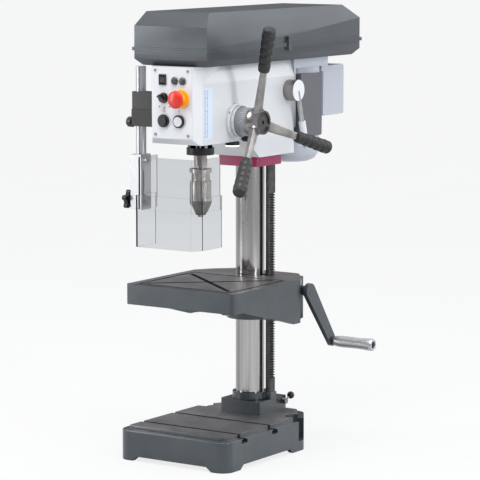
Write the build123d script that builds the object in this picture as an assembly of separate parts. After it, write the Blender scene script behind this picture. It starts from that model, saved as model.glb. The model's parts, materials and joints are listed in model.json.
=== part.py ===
from build123d import *
from math import acos, asin, atan2, cos, degrees, pi, radians, sin, sqrt, tan
import os

# Bench drill press with a belt-driven spindle, a rack-lifted table and a swing-away chuck guard.
# The frame: +Z up, +X to the operator's right, -Y towards the operator. The origin is on the column's
# axis, level with the bench, midway between the two bench bolts. All sizes are in millimetres.

# ---------------------------------------------------------------- driving sizes
FIT = 0.05             # radial clearance of a shaft that turns or slides in its hole
GAP = 0.4              # clearance between pieces that move past each other
FAR = 2000.0           # beyond the machine in any direction, for cuts that run right through

THROAT = 210.0         # column axis to spindle axis
BASE_WIDTH = 312.0
BASE_AHEAD = 122.0     # spindle axis to the base's front edge
BASE_BACK_WIDTH = 194.0
BASE_HEIGHT = 80.0
BASE_WALL = 12.0
BASE_DECK = 28.0       # thickness of the machined deck
BENCH_BOLT_RADIUS = 6.0
BENCH_BOLT_EDGE = 28.0  # from a bench bolt's axis to the base's side
SLOT_WIDTH = 12.0      # T-slots in the base and in the table

COLUMN_RADIUS = 35.0
COLUMN_WALL = 6.0
FLANGE_HEIGHT = 32.0
RING_HEIGHT = 18.0

HEAD_BOTTOM = 755.0
HEAD_HEIGHT = 181.0
HEAD_HALF_WIDTH = 71.0
HEAD_AHEAD = 115.0     # spindle axis to the face of the control panel
HEAD_WALL = 8.0
CORNER_X = 14.0        # the head's bevelled front corners, across and along
CORNER_Y = 21.0
COLLAR_DROP = 71.0     # from the head's underside to the collar's
COLLAR_HEIGHT = 25.0

RACK_MODULE = 2.0
RACK_DEPTH = 14.0
RACK_WIDTH = 20.0
RACK_Y = 12.0
GEAR_TEETH = 16
WORM_RADIUS = 8.0

TABLE_TOP = 416.0
TABLE_WIDTH = 310.0
TABLE_AHEAD = 90.0     # spindle axis to the table's front edge
TABLE_PLATE = 26.0
TABLE_SKIRT = 48.0
TABLE_WALL = 10.0
BRACKET_HEIGHT = 104.0

QUILL_RADIUS = 29.0
QUILL_LENGTH = 182.0
QUILL_TRAVEL = 85.0
SPINDLE_RADIUS = 11.0
PINION_TEETH = 14
LEVER_REACH = 225.0    # feed shaft axis to the grip's end, square to the shaft
LEVER_RAKE = 16.3      # degrees that the levers lean away from the head
LEVER_ANGLES = (101.0, -19.0, -139.0)
GRIP_LENGTH = 107.0
GRIP_RADIUS = 16.5

CHUCK_RADIUS = 24.5
CHUCK_CORE_RADIUS = 19.4
CHUCK_LENGTH = 114.0
JAW_RADIUS = 3.2
JAW_LEAN = 12.0
JAW_LENGTH = 34.0
JAW_TRAVEL = 20.0

COVER_HALF_WIDTH = 102.0
COVER_AHEAD = 120.0    # spindle axis to the belt cover's front
COVER_BEHIND = 166.0   # motor axis to the belt cover's back
TRAY_HEIGHT = 38.0
LID_SIDE = 53.0        # height of the lid's upright sides
LID_HEIGHT = 86.0
COVER_WALL = 3.0
RIM_OUT = 4.0

MOTOR_Y = 170.0
MOTOR_RADIUS = 75.0
MOTOR_HEIGHT = 232.0
MOTOR_WALL = 5.0
MOTOR_SHAFT_RADIUS = 9.5
SPINDLE_PULLEY_RADIUS = 68.0
MOTOR_PULLEY_RADIUS = 40.0
BELT_THICKNESS = 5.0

CRANK_RADIUS = 168.0
CRANK_ANGLE = -53.0    # of the arm, from +Y towards +Z
CRANK_GRIP_LENGTH = 110.0

POST_RADIUS = 12.0
POST_OUT = 54.0        # from the head's side to the guard post's axis
POST_AHEAD = 63.0      # spindle axis to the guard post's axis
SHEET = 3.0            # clear guard sheet
SHIELD_AHEAD = 110.0   # spindle axis to the lower shield's front
SHIELD_RIGHT = 65.0
SHIELD_TRAVEL = 68.0

# ---------------------------------------------------------------- sizes that follow
SPINDLE_Y = -THROAT
BASE_FRONT = THROAT + BASE_AHEAD
BENCH_BOLT_SPACING = BASE_WIDTH - 2 * BENCH_BOLT_EDGE
SLOTS_Y = (SPINDLE_Y - 45, SPINDLE_Y + 83)
FLANGE_TOP = BASE_HEIGHT + FLANGE_HEIGHT
FLANGE_HALF_WIDTH = COLUMN_RADIUS + 22
FLANGE_FRONT = COLUMN_RADIUS + 9
FLANGE_BACK = COLUMN_RADIUS + 40
RING_TOP = FLANGE_TOP + RING_HEIGHT
BASE_BACK = FLANGE_BACK + 17

HEAD_TOP = HEAD_BOTTOM + HEAD_HEIGHT
HEAD_NOSE_FRONT = THROAT + HEAD_AHEAD
HEAD_BACK = COLUMN_RADIUS + 49
COLUMN_TOP = HEAD_TOP - 36
COLLAR_BOTTOM = HEAD_BOTTOM - COLLAR_DROP
COLLAR_TOP = COLLAR_BOTTOM + COLLAR_HEIGHT
COLLAR_HALF = COLUMN_RADIUS + 23
QUILL_BOTTOM = HEAD_BOTTOM - 31
QUILL_TOP = QUILL_BOTTOM + QUILL_LENGTH
CHUCK_TOP = QUILL_BOTTOM - 33
CHUCK_TIP = CHUCK_TOP - CHUCK_LENGTH

RACK_IN = COLUMN_RADIUS + 9        # inner face of the rack bar, from the column axis
RACK_OUT = RACK_IN + RACK_DEPTH
RACK_BOTTOM = RING_TOP - 9
GEAR_RADIUS = RACK_MODULE * GEAR_TEETH / 2
GEAR_X = RACK_OUT - RACK_MODULE + GEAR_RADIUS
WORM_Z = TABLE_TOP - 30
GEAR_Z = WORM_Z - WORM_RADIUS - GEAR_RADIUS
TABLE_FRONT = THROAT + TABLE_AHEAD
BRACKET_BOTTOM = TABLE_TOP - BRACKET_HEIGHT
TOOTH_PITCH = pi * RACK_MODULE

PINION_RADIUS = RACK_MODULE * PINION_TEETH / 2
FEED_Y = SPINDLE_Y + QUILL_RADIUS - RACK_MODULE + PINION_RADIUS
FEED_HEIGHT = HEAD_BOTTOM + 48
FLANGE_X = HEAD_HALF_WIDTH + 9     # right face of the feed flange
DIAL_X = FLANGE_X + 3
DRUM_X = DIAL_X + 14
HUB_X = DRUM_X + 23
HUB_END = HUB_X + 32

COVER_FRONT = THROAT + COVER_AHEAD
COVER_BACK = MOTOR_Y + COVER_BEHIND
COVER_RIM = HEAD_TOP + TRAY_HEIGHT  # where the lid meets the tray
COVER_SIDE_TOP = COVER_RIM + LID_SIDE
COVER_TOP = COVER_RIM + LID_HEIGHT
MOTOR_TOP = HEAD_TOP - 24
MOTOR_BOTTOM = MOTOR_TOP - MOTOR_HEIGHT

POST_X = -HEAD_HALF_WIDTH - POST_OUT
POST_Y = SPINDLE_Y - POST_AHEAD
SHIELD_FRONT = SPINDLE_Y - SHIELD_AHEAD

os.makedirs("parts", exist_ok=True)
SOLIDS = {}


# ---------------------------------------------------------------- small helpers
def block(x0, x1, y0, y1, z0, z1):
    """A box between two corners."""
    return Pos((x0 + x1) / 2, (y0 + y1) / 2, (z0 + z1) / 2) * Box(x1 - x0, y1 - y0, z1 - z0)


def rod(radius, start, end):
    """A round bar from one point to another."""
    a, b = Vector(*start), Vector(*end)
    along = b - a
    return Plane(origin=a, z_dir=along.normalized()) * Cylinder(
        radius, along.length, align=(Align.CENTER, Align.CENTER, Align.MIN))


def rod_z(radius, z0, z1, x=0.0, y=0.0):
    return rod(radius, (x, y, z0), (x, y, z1))


def rod_x(radius, x0, x1, y=0.0, z=0.0):
    return rod(radius, (x0, y, z), (x1, y, z))


def rod_y(radius, y0, y1, x=0.0, z=0.0):
    return rod(radius, (x, y0, z), (x, y1, z))


def tube_z(outer, inner, z0, z1, x=0.0, y=0.0):
    return rod_z(outer, z0, z1, x, y) - rod_z(inner, z0 - 1, z1 + 1, x, y)


def tube_x(outer, inner, x0, x1, y=0.0, z=0.0):
    return rod_x(outer, x0, x1, y, z) - rod_x(inner, x0 - 1, x1 + 1, y, z)


def plate(outline, z0, z1):
    """A flat plate with the given outline in plan."""
    face = make_face(Polyline(*outline, close=True))
    return Pos(0, 0, z0) * extrude(face, z1 - z0, dir=(0, 0, 1))


def turned(profile, x=0.0, y=0.0):
    """A body turned about a vertical axis from (radius, height) points."""
    face = make_face(Polyline(*[(r, 0, z) for r, z in profile], close=True))
    return Pos(x, y, 0) * revolve(face, Axis.Z, 360)


def turned_x(profile, y=0.0, z=0.0):
    """A body turned about an axis along X from (x, radius) points."""
    face = make_face(Polyline(*[(x, 0, r) for x, r in profile], close=True))
    return Pos(0, y, z) * revolve(face, Axis.X, 360)


def upright_edges(shape):
    return shape.edges().filter_by(Axis.Z)


def frustum(low, high, z0, z1):
    """A straight-sided loft between two rectangles (x0, x1, y0, y1)."""
    def rectangle(r, z):
        return Pos((r[0] + r[1]) / 2, (r[2] + r[3]) / 2, z) * Rectangle(r[1] - r[0], r[3] - r[2])
    return loft([rectangle(low, z0), rectangle(high, z1)])


def inset(rect, dx, dy):
    return (rect[0] + dx, rect[1] - dx, rect[2] + dy, rect[3] - dy)


def involute_gear(teeth, module, width, backlash):
    """A spur gear about Z, one tooth centred on +X, its teeth thinned by the backlash."""
    pitch_r = module * teeth / 2
    base_r = pitch_r * cos(radians(20))
    outer_r, root_r = pitch_r + 0.9 * module, pitch_r - 1.25 * module

    def roll(r):
        return sqrt((r / base_r) ** 2 - 1) - acos(base_r / r) if r > base_r else 0.0

    half = pi / (2 * teeth) - backlash / (2 * pitch_r) + roll(pitch_r)
    radii = [max(base_r, root_r) + (outer_r - max(base_r, root_r)) * k / 4 for k in range(5)]
    points = []
    for n in range(teeth):
        middle = 2 * pi * n / teeth
        flank = [(root_r, half)] + [(r, half - roll(r)) for r in radii]
        for r, a in flank:
            points.append((r * cos(middle - a), r * sin(middle - a)))
        for r, a in reversed(flank):
            points.append((r * cos(middle + a), r * sin(middle + a)))
    return extrude(make_face(Polyline(*points, close=True)), width / 2, both=True)


def rack_tooth_space(module, length):
    """The space between two rack teeth: opens towards +X from the pitch line, runs along Y."""
    depth_in, depth_out = 1.25 * module, 2.0 * module
    half = TOOTH_PITCH / 4 + 0.1
    slope = tan(radians(20))
    outline = [(-depth_in, -half + slope * depth_in), (-depth_in, half - slope * depth_in),
               (depth_out, half + slope * depth_out), (depth_out, -half - slope * depth_out)]
    face = make_face(Polyline(*[(x, 0, z) for x, z in outline], close=True))
    return extrude(face, length / 2, dir=(0, 1, 0), both=True)


def group(shapes):
    """Several separate solids that share one node."""
    return Compound(children=[s if isinstance(s, Solid) else Solid(s.solid().wrapped) for s in shapes])


def keep(name, shape):
    """Writes a node's STEP file and remembers its solids."""
    SOLIDS[name] = shape
    shape.label = name
    export_step(shape, f"parts/{name}.step")


def socket_screw(radius, head_radius, head, length):
    """A socket-head screw that hangs below z = 0, its head above."""
    body = rod_z(radius, -length, 0.5) + rod_z(head_radius, 0, head)
    socket = extrude(RegularPolygon(head_radius * 0.55, 6), head * 0.6)
    return body - Pos(0, 0, head * 0.4) * socket


def screws(places, radius, head_radius, head, length, turn):
    """Socket-head screws with the given place and direction for each."""
    return group([Pos(*p) * turn * socket_screw(radius, head_radius, head, length) for p in places])


HEAD_DOWN = Rot(180, 0, 0)
HEAD_TO_FRONT = Rot(90, 0, 0)


# ---------------------------------------------------------------- base and column
RIM = 8.0              # the machined deck stands this far above the rim
DECK_INSET = 17.0
LUG_HEIGHT = 24.0
FLANGE_SCREW_RADIUS = 5.0
FLANGE_SCREW_X = FLANGE_HALF_WIDTH - 12
FLANGE_SCREWS_Y = (11 - FLANGE_FRONT, FLANGE_BACK - 36)
FLANGE_SCREWS = [(x, y) for x in (-FLANGE_SCREW_X, FLANGE_SCREW_X) for y in FLANGE_SCREWS_Y]
LOCK_ROD = 5.0
LOCK_X = FLANGE_HALF_WIDTH + 8       # where the clamp lever hangs
LOCK_Y = COLUMN_RADIUS + 21
LOCK_Z = FLANGE_TOP - 11


def base_outline(d):
    """The base in plan, drawn in by d."""
    side, front = BASE_WIDTH / 2 - d, -BASE_FRONT + d
    back, half_back = BASE_BACK - d, BASE_BACK_WIDTH / 2 - d / 2
    return [(-side, front), (side, front), (side, 0), (half_back, back), (-half_back, back),
            (-side, 0)]


def arch(a, b):
    """The opening between two feet, from a to b."""
    return make_face(Polyline((a, -1), (b, -1), (b - 15, 11), (a + 15, 11), close=True))


def make_base():
    outer = plate(base_outline(0), 0, BASE_HEIGHT - RIM)
    outer = fillet(upright_edges(outer), 30)
    deck = plate(base_outline(DECK_INSET), BASE_HEIGHT - RIM - 1, BASE_HEIGHT)
    deck = fillet(upright_edges(deck), 16)
    body = outer + deck
    hollow = plate(base_outline(BASE_WALL), -1, BASE_HEIGHT - BASE_DECK)
    rib_y = sum(SLOTS_Y) / 2
    ribs = block(-5, 5, -BASE_FRONT, BASE_BACK, 12, BASE_HEIGHT)
    ribs += block(-BASE_WIDTH / 2, BASE_WIDTH / 2, rib_y - 5, rib_y + 5, 12, BASE_HEIGHT)
    pads = rod_z(COLUMN_RADIUS + 20, 12, BASE_HEIGHT) - rod_z(COLUMN_RADIUS, 0, BASE_HEIGHT - BASE_DECK)
    for x in (-1, 1):
        pads += rod_z(34, 0, BASE_HEIGHT, x * BENCH_BOLT_SPACING / 2)
    body -= hollow - ribs - pads
    for x in (-1, 1):
        side = x * BENCH_BOLT_SPACING / 2
        body -= rod_z(22, LUG_HEIGHT, BASE_HEIGHT + 1, side)
        edges = sorted((side, x * BASE_WIDTH))
        body -= block(edges[0], edges[1], -22, 22, LUG_HEIGHT, BASE_HEIGHT + 1)
        body -= rod_z(BENCH_BOLT_RADIUS, -1, LUG_HEIGHT + 1, side)
    for y in SLOTS_Y:
        body -= block(-BASE_WIDTH, BASE_WIDTH, y - SLOT_WIDTH / 2, y + SLOT_WIDTH / 2,
                      BASE_HEIGHT - 10, BASE_HEIGHT + 1)
        body -= block(-BASE_WIDTH, BASE_WIDTH, y - SLOT_WIDTH, y + SLOT_WIDTH,
                      BASE_HEIGHT - 19, BASE_HEIGHT - 10)
    for x, y in FLANGE_SCREWS:
        body -= rod_z(FLANGE_SCREW_RADIUS + 0.5, 0, BASE_HEIGHT + 1, x, y)
        body -= rod_z(FLANGE_SCREW_RADIUS + 5, 0, BASE_HEIGHT - BASE_DECK, x, y)
    wide = BASE_WIDTH / 2 - 42
    front_arch = Plane.XZ * arch(-wide, wide)
    body -= Pos(0, BASE_BACK + 10, 0) * extrude(front_arch, 2 * BASE_FRONT, dir=(0, -1, 0))
    side_arch = Plane.YZ * arch(58 - BASE_FRONT, -46)
    body -= extrude(side_arch, BASE_WIDTH, both=True)
    return body


def make_column_flange():
    body = block(-FLANGE_HALF_WIDTH, FLANGE_HALF_WIDTH, -FLANGE_FRONT, FLANGE_BACK, BASE_HEIGHT, FLANGE_TOP)
    body = fillet(upright_edges(body), 4)
    body -= rod_z(COLUMN_RADIUS, 0, FLANGE_TOP + 1)
    for x, y in FLANGE_SCREWS:
        body -= rod_z(FLANGE_SCREW_RADIUS, BASE_HEIGHT - 1, BASE_HEIGHT + 20, x, y)
    return body - rod_x(LOCK_ROD + FIT, COLUMN_RADIUS, FAR, LOCK_Y, LOCK_Z)


def make_flange_screws():
    under = BASE_HEIGHT - BASE_DECK
    return screws([(x, y, under) for x, y in FLANGE_SCREWS], FLANGE_SCREW_RADIUS, 8, 9,
                  BASE_DECK + 18, HEAD_DOWN)


def make_base_lock():
    """The small hanging lever that clamps the column in its flange."""
    body = rod_x(LOCK_ROD, COLUMN_RADIUS + 1, LOCK_X + 4, LOCK_Y, LOCK_Z)
    body += rod_x(7, FLANGE_HALF_WIDTH + GAP, LOCK_X + 5, LOCK_Y, LOCK_Z)
    return body + rod(2.4, (LOCK_X, LOCK_Y, LOCK_Z), (LOCK_X, LOCK_Y + 26, LOCK_Z + 10))


def make_base_lock_knob():
    ball = Pos(LOCK_X, LOCK_Y + 26, LOCK_Z + 10) * Sphere(9)
    return ball - make_base_lock()


def make_column():
    return tube_z(COLUMN_RADIUS, COLUMN_RADIUS - COLUMN_WALL, BASE_HEIGHT, COLUMN_TOP)


# ---------------------------------------------------------------- rack that swings round the column
TONGUE = 5.0


def make_rack_ring():
    ring = rod_z(COLUMN_RADIUS + 8, FLANGE_TOP + GAP, RING_TOP)
    ring += block(COLUMN_RADIUS - 5, RACK_OUT + 3, RACK_Y - RACK_WIDTH / 2 - 3, RACK_Y + RACK_WIDTH / 2 + 3,
                  FLANGE_TOP + GAP, RING_TOP)
    ring -= rod_z(COLUMN_RADIUS + FIT, 0, RING_TOP + 1)
    return ring - block(RACK_IN, RACK_OUT, RACK_Y - RACK_WIDTH / 2, RACK_Y + RACK_WIDTH / 2,
                        RACK_BOTTOM, RING_TOP + 1)


def make_rack():
    """Toothed bar beside the column; a tooth space is level with the table's gear."""
    top = COLLAR_BOTTOM - GAP
    tip = RACK_OUT
    root = RACK_OUT - 2.25 * RACK_MODULE
    slope = tan(radians(20))
    half = TOOTH_PITCH / 4 + 0.1
    low, high = RING_TOP + 31, COLLAR_BOTTOM - 66
    points = [(RACK_IN, RACK_BOTTOM), (tip, RACK_BOTTOM)]
    first = -int((GEAR_Z - low) / TOOTH_PITCH)
    last = int((high - GEAR_Z) / TOOTH_PITCH)
    deep = half - slope * 1.25 * RACK_MODULE
    wide = half + slope * RACK_MODULE
    for n in range(first, last + 1):
        z = GEAR_Z + n * TOOTH_PITCH
        points += [(tip, z - wide), (root, z - deep), (root, z + deep), (tip, z + wide)]
    points += [(tip, top), (RACK_IN, top)]
    face = make_face(Polyline(*[(x, RACK_Y, z) for x, z in points], close=True))
    bar = extrude(face, RACK_WIDTH / 2, dir=(0, 1, 0), both=True)
    return bar + block(RACK_IN, RACK_IN + TONGUE, RACK_Y - 6, RACK_Y + 6, top - 1, top + 6)


def make_head_collar():
    """Bright ring block under the head, with the groove that the rack's tongue runs in."""
    body = block(-COLLAR_HALF, COLLAR_HALF, -COLLAR_HALF, COLLAR_HALF, COLLAR_BOTTOM, COLLAR_TOP)
    body = fillet(upright_edges(body), 14)
    body -= rod_z(COLUMN_RADIUS, 0, COLLAR_TOP + 1)
    return body - tube_z(RACK_IN + TONGUE + 4, RACK_IN - 1, COLLAR_BOTTOM - 1, COLLAR_BOTTOM + 7)


# ---------------------------------------------------------------- table
BOX_RIGHT = RACK_OUT + 68
BOX_FRONT = RACK_Y - 20
BOX_BACK = RACK_Y + 30
CRANK_SHAFT = 6.0
GEAR_PIN = 5.0
GEAR_WIDTH = 18.0
DRIP = 5.0
TABLE_LOCK_ROD = 6.0
TABLE_LOCK_Y = COLUMN_RADIUS + 27
TABLE_LOCK_Z = TABLE_TOP - 56
TABLE_BACK = COLUMN_RADIUS + 39
CLAMP_HALF = 24.0      # half the width of the split clamp behind the column


def table_outline(d):
    half = TABLE_WIDTH / 2 - d
    return [(-half, -TABLE_FRONT + d), (half, -TABLE_FRONT + d), (half, -15), (BOX_RIGHT + 8 - d, 23),
            (92 - d, TABLE_BACK - d), (-80 + d, TABLE_BACK - d), (-132 + d, 23), (-half, -15)]


def make_table():
    skirt_z = TABLE_TOP - TABLE_SKIRT
    body = plate(table_outline(0), skirt_z, TABLE_TOP)
    body = fillet(upright_edges(body), 12)
    half = TABLE_WIDTH / 2
    cheeks = Plane.YZ * make_face(Polyline((42 - TABLE_FRONT, skirt_z + 1), (-15, skirt_z + 1),
                                           (-15, BRACKET_BOTTOM), (-44, BRACKET_BOTTOM), close=True))
    body += extrude(cheeks, half, both=True)
    body += plate([(-half, -25), (half, -25), (half, -15), (BOX_RIGHT, 23), (BOX_RIGHT, 33), (60, 60),
                   (-60, 60), (-half, -15)], BRACKET_BOTTOM, skirt_z + 1)
    side, front = half - TABLE_WALL, TABLE_WALL - TABLE_FRONT
    inner = plate([(-side, front), (side, front), (side, -26), (-side, -26)],
                  BRACKET_BOTTOM - 1, TABLE_TOP - TABLE_PLATE)
    inner += plate([(-side, -26.5), (-66, -26.5), (-66, 48), (-half + 30, 18)],
                   BRACKET_BOTTOM - 1, TABLE_TOP - TABLE_PLATE)
    hub = rod_z(COLUMN_RADIUS + 22, BRACKET_BOTTOM, TABLE_TOP)
    body -= inner - hub
    body += rod_z(COLUMN_RADIUS + 22, BRACKET_BOTTOM, TABLE_TOP)
    body += rod_z(16, TABLE_TOP - 60, TABLE_TOP - TABLE_PLATE + 1, 0, SPINDLE_Y + 40)
    body += block(COLUMN_RADIUS + 21, BOX_RIGHT, BOX_FRONT, BOX_BACK, BRACKET_BOTTOM + 2, TABLE_TOP)
    body += block(-CLAMP_HALF, CLAMP_HALF, COLUMN_RADIUS + 5, TABLE_BACK, BRACKET_BOTTOM, TABLE_TOP)
    body -= rod_z(COLUMN_RADIUS + FIT, 0, FAR)
    body -= block(BOX_RIGHT, BOX_RIGHT + 40, -14.9, FAR, 0, WORM_Z + CRANK_BOSS + 2)
    for x in (-1, 1):
        recess = sorted((x * CLAMP_HALF, x * (CLAMP_HALF + 38)))
        body -= block(recess[0], recess[1], TABLE_LOCK_Y - 15, FAR, TABLE_LOCK_Z - 20, TABLE_LOCK_Z + 20)
    # clearance for the rack, the gear and its pin, the crank shaft and the clamping slit
    body -= block(COLUMN_RADIUS - 5, RACK_OUT + GAP,
                  RACK_Y - RACK_WIDTH / 2 - GAP, RACK_Y + RACK_WIDTH / 2 + GAP, 0, FAR)
    reach = GEAR_RADIUS + RACK_MODULE
    body -= block(RACK_OUT - 4, GEAR_X + reach, RACK_Y - GEAR_WIDTH / 2 - GAP, RACK_Y + GEAR_WIDTH / 2 + GAP,
                  GEAR_Z - reach, WORM_Z + WORM_RADIUS + 2)
    body -= rod_y(GEAR_PIN, BOX_FRONT - 1, BOX_BACK + 1, GEAR_X, GEAR_Z)
    body -= rod_x(CRANK_SHAFT + FIT, GEAR_X, BOX_RIGHT + 20, RACK_Y, WORM_Z)
    body -= block(-2, 2, COLUMN_RADIUS - 5, FAR, 0, FAR)
    body -= rod_x(TABLE_LOCK_ROD + FIT, -FAR, FAR, TABLE_LOCK_Y, TABLE_LOCK_Z)
    # machined face: a drip groove round it and two crossing slots
    x0, x1, y0, y1 = -half + 22, half - 22, -TABLE_FRONT + 20, -48
    ring = block(x0, x1, y0, y1, TABLE_TOP - DRIP, TABLE_TOP + 1)
    ring -= block(x0 + 7, x1 - 7, y0 + 7, y1 - 7, TABLE_TOP - DRIP - 1, TABLE_TOP + 2)
    body -= ring
    for start, end in (((x0 + 14, y1 - 30), (x1 - 14, y0 + 14)), ((x0 + 14, y0 + 14), (x1 - 26, y1 - 14))):
        run = Vector(end[0] - start[0], end[1] - start[1])
        middle = ((start[0] + end[0]) / 2, (start[1] + end[1]) / 2)
        slot = SlotOverall(run.length, SLOT_WIDTH)
        through = extrude(slot, TABLE_PLATE + 2)
        turn = degrees(atan2(run.Y, run.X))
        body -= Pos(middle[0], middle[1], TABLE_TOP - TABLE_PLATE - 1) * Rot(0, 0, turn) * through
    return body


def make_table_lock():
    """Clamp screw through the split at the back of the table's bracket, with its lever."""
    x = -CLAMP_HALF - GAP
    body = rod_x(TABLE_LOCK_ROD, x - 26, CLAMP_HALF + 10, TABLE_LOCK_Y, TABLE_LOCK_Z)
    body += rod_x(11, x - 24, x, TABLE_LOCK_Y, TABLE_LOCK_Z)
    body += rod(4.5, (x - 15, TABLE_LOCK_Y, TABLE_LOCK_Z), (x - 40, TABLE_LOCK_Y + 62, TABLE_LOCK_Z + 22))
    return body


def make_table_lock_knob():
    x = -CLAMP_HALF - GAP
    end = (x - 40, TABLE_LOCK_Y + 62, TABLE_LOCK_Z + 22)
    return Pos(*end) * Sphere(11) - make_table_lock()


def make_table_lock_nut():
    nut = Rot(0, 90, 0) * extrude(RegularPolygon(10, 6), 4, both=True)
    nut = Pos(CLAMP_HALF + 5, TABLE_LOCK_Y, TABLE_LOCK_Z) * nut
    return nut - rod_x(TABLE_LOCK_ROD + FIT, 0, FAR, TABLE_LOCK_Y, TABLE_LOCK_Z)


def make_table_gear():
    """Gear that climbs the rack; one tooth points at the rack."""
    gear = Rot(0, 180, 0) * Rot(90, 0, 0) * involute_gear(GEAR_TEETH, RACK_MODULE, GEAR_WIDTH, 0.3)
    gear -= rod_y(GEAR_PIN + FIT, -30, 30)
    return Pos(GEAR_X, RACK_Y, GEAR_Z) * gear


def make_gear_pin():
    return rod_y(GEAR_PIN, BOX_FRONT, BOX_BACK, GEAR_X, GEAR_Z)


CRANK_HUB_X = TABLE_WIDTH / 2 + 2
CRANK_ARM = 11.0
CRANK_BOSS = 12.0
GRIP_START = CRANK_HUB_X + CRANK_ARM + 4
GRIP_END = GRIP_START + CRANK_GRIP_LENGTH


def crank_tip():
    a = radians(CRANK_ANGLE)
    return (RACK_Y + CRANK_RADIUS * cos(a), WORM_Z + CRANK_RADIUS * sin(a))


def make_worm_shaft():
    """Crank shaft with the grooved worm that drives the gear below it."""
    body = rod_x(CRANK_SHAFT, GEAR_X - 14, CRANK_HUB_X, RACK_Y, WORM_Z)
    for n in range(4):
        x = GEAR_X - 9 + n * TOOTH_PITCH
        body -= tube_x(CRANK_SHAFT + 1, CRANK_SHAFT - 1.5, x - 1, x + 1, RACK_Y, WORM_Z)
    return body


def make_crank_arm():
    y, z = crank_tip()
    taper = make_face(Polyline((0, -19), (CRANK_RADIUS, -13), (CRANK_RADIUS, 13), (0, 19), close=True))
    flat = Plane.YZ.offset(CRANK_HUB_X) * Pos(RACK_Y, WORM_Z) * Rot(0, 0, CRANK_ANGLE) * taper
    web = extrude(flat, CRANK_ARM, dir=(1, 0, 0))
    body = web + rod_x(19, CRANK_HUB_X, CRANK_HUB_X + CRANK_ARM, RACK_Y, WORM_Z)
    body += rod_x(CRANK_BOSS, BOX_RIGHT + GAP, CRANK_HUB_X + 1, RACK_Y, WORM_Z)
    body += rod_x(13, CRANK_HUB_X, CRANK_HUB_X + CRANK_ARM, y, z)
    body -= rod_x(CRANK_SHAFT, 0, CRANK_HUB_X, RACK_Y, WORM_Z)
    return body - rod_x(5, CRANK_HUB_X - 5, FAR, y, z)


def make_crank_pin():
    y, z = crank_tip()
    body = rod_x(5, CRANK_HUB_X, GRIP_END - 8, y, z) + rod_x(8, GRIP_END - 12, GRIP_END - 8, y, z)
    return body + rod_x(8, CRANK_HUB_X + CRANK_ARM, GRIP_START - GAP, y, z)


def make_crank_grip():
    y, z = crank_tip()
    x0, x1 = GRIP_START, GRIP_END
    body = turned_x([(x0, 0), (x0, 10), (x0 + 5, 12.5), (x0 + 20, 14), (x1 - 40, 13), (x1 - 6, 15),
                     (x1, 13), (x1, 0)], y, z)
    body -= rod_x(5 + FIT, x0 - 1, x1 + 1, y, z)
    return body - rod_x(8 + GAP, x1 - 12 - GAP, x1 + 1, y, z)


# ---------------------------------------------------------------- head
PANEL_THICK = 2.0
PANEL_HALF = 56.0
PANEL_LOW = HEAD_BOTTOM + 15
PANEL_HIGH = HEAD_TOP - 2
QUILL_BORE = QUILL_RADIUS + FIT
SLEEVE_RADIUS = 20.0   # of the spindle pulley's sleeve, running in the top of the head
FEED_SHAFT = 9.0
PINION_BORE = PINION_RADIUS + RACK_MODULE + 0.4
PINION_HALF = 14.0
HEAD_FRONT = -HEAD_NOSE_FRONT + PANEL_THICK
TENSION_Y = 60.0
TENSION_Z = HEAD_TOP - 74
LOCK_SCREW_Y = FEED_Y + 33
LOCK_SCREW_Z = HEAD_BOTTOM + 7
HEAD_SCREWS = [(x, z) for x in (-46, 46) for z in (PANEL_LOW + 8, PANEL_HIGH - 8)]
ROCKER_X = -25.0
ROCKER_Z = PANEL_HIGH - 29
LAMPS = [(9, PANEL_HIGH - 31), (31, PANEL_HIGH - 31)]
STOP_AT = (-22, PANEL_LOW + 40)
START_AT = (21, PANEL_LOW + 40)
ESTOP_AT = (28, PANEL_HIGH - 72)
SELECTOR_AT = (-22, PANEL_HIGH - 71)
BUTTON_RADIUS = 15.0
STEM = 6.0             # radius of a button's stem
BUTTON_HOLE = 9.0
LAMP_HOLE = 7.0
PANEL_HOLES = [(*at, BUTTON_HOLE) for at in (STOP_AT, START_AT, ESTOP_AT)]
PANEL_HOLES += [(*SELECTOR_AT, 8)] + [(*at, LAMP_HOLE) for at in LAMPS]
FACE = -HEAD_NOSE_FRONT
BLOCK_FRONT = FACE + 22


def head_profile(d):
    """Side view of the head, drawn in by d."""
    neck = -COLLAR_HALF - 8 + d / 2
    return [(HEAD_FRONT + d, PANEL_LOW - 2 + d), (HEAD_FRONT + 16 + d, HEAD_BOTTOM + d),
            (neck - 56, HEAD_BOTTOM + d), (neck, COLLAR_TOP + d), (HEAD_BACK - d, COLLAR_TOP + d),
            (HEAD_BACK - d, HEAD_TOP + 1), (HEAD_FRONT + d, HEAD_TOP + 1)]


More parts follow.
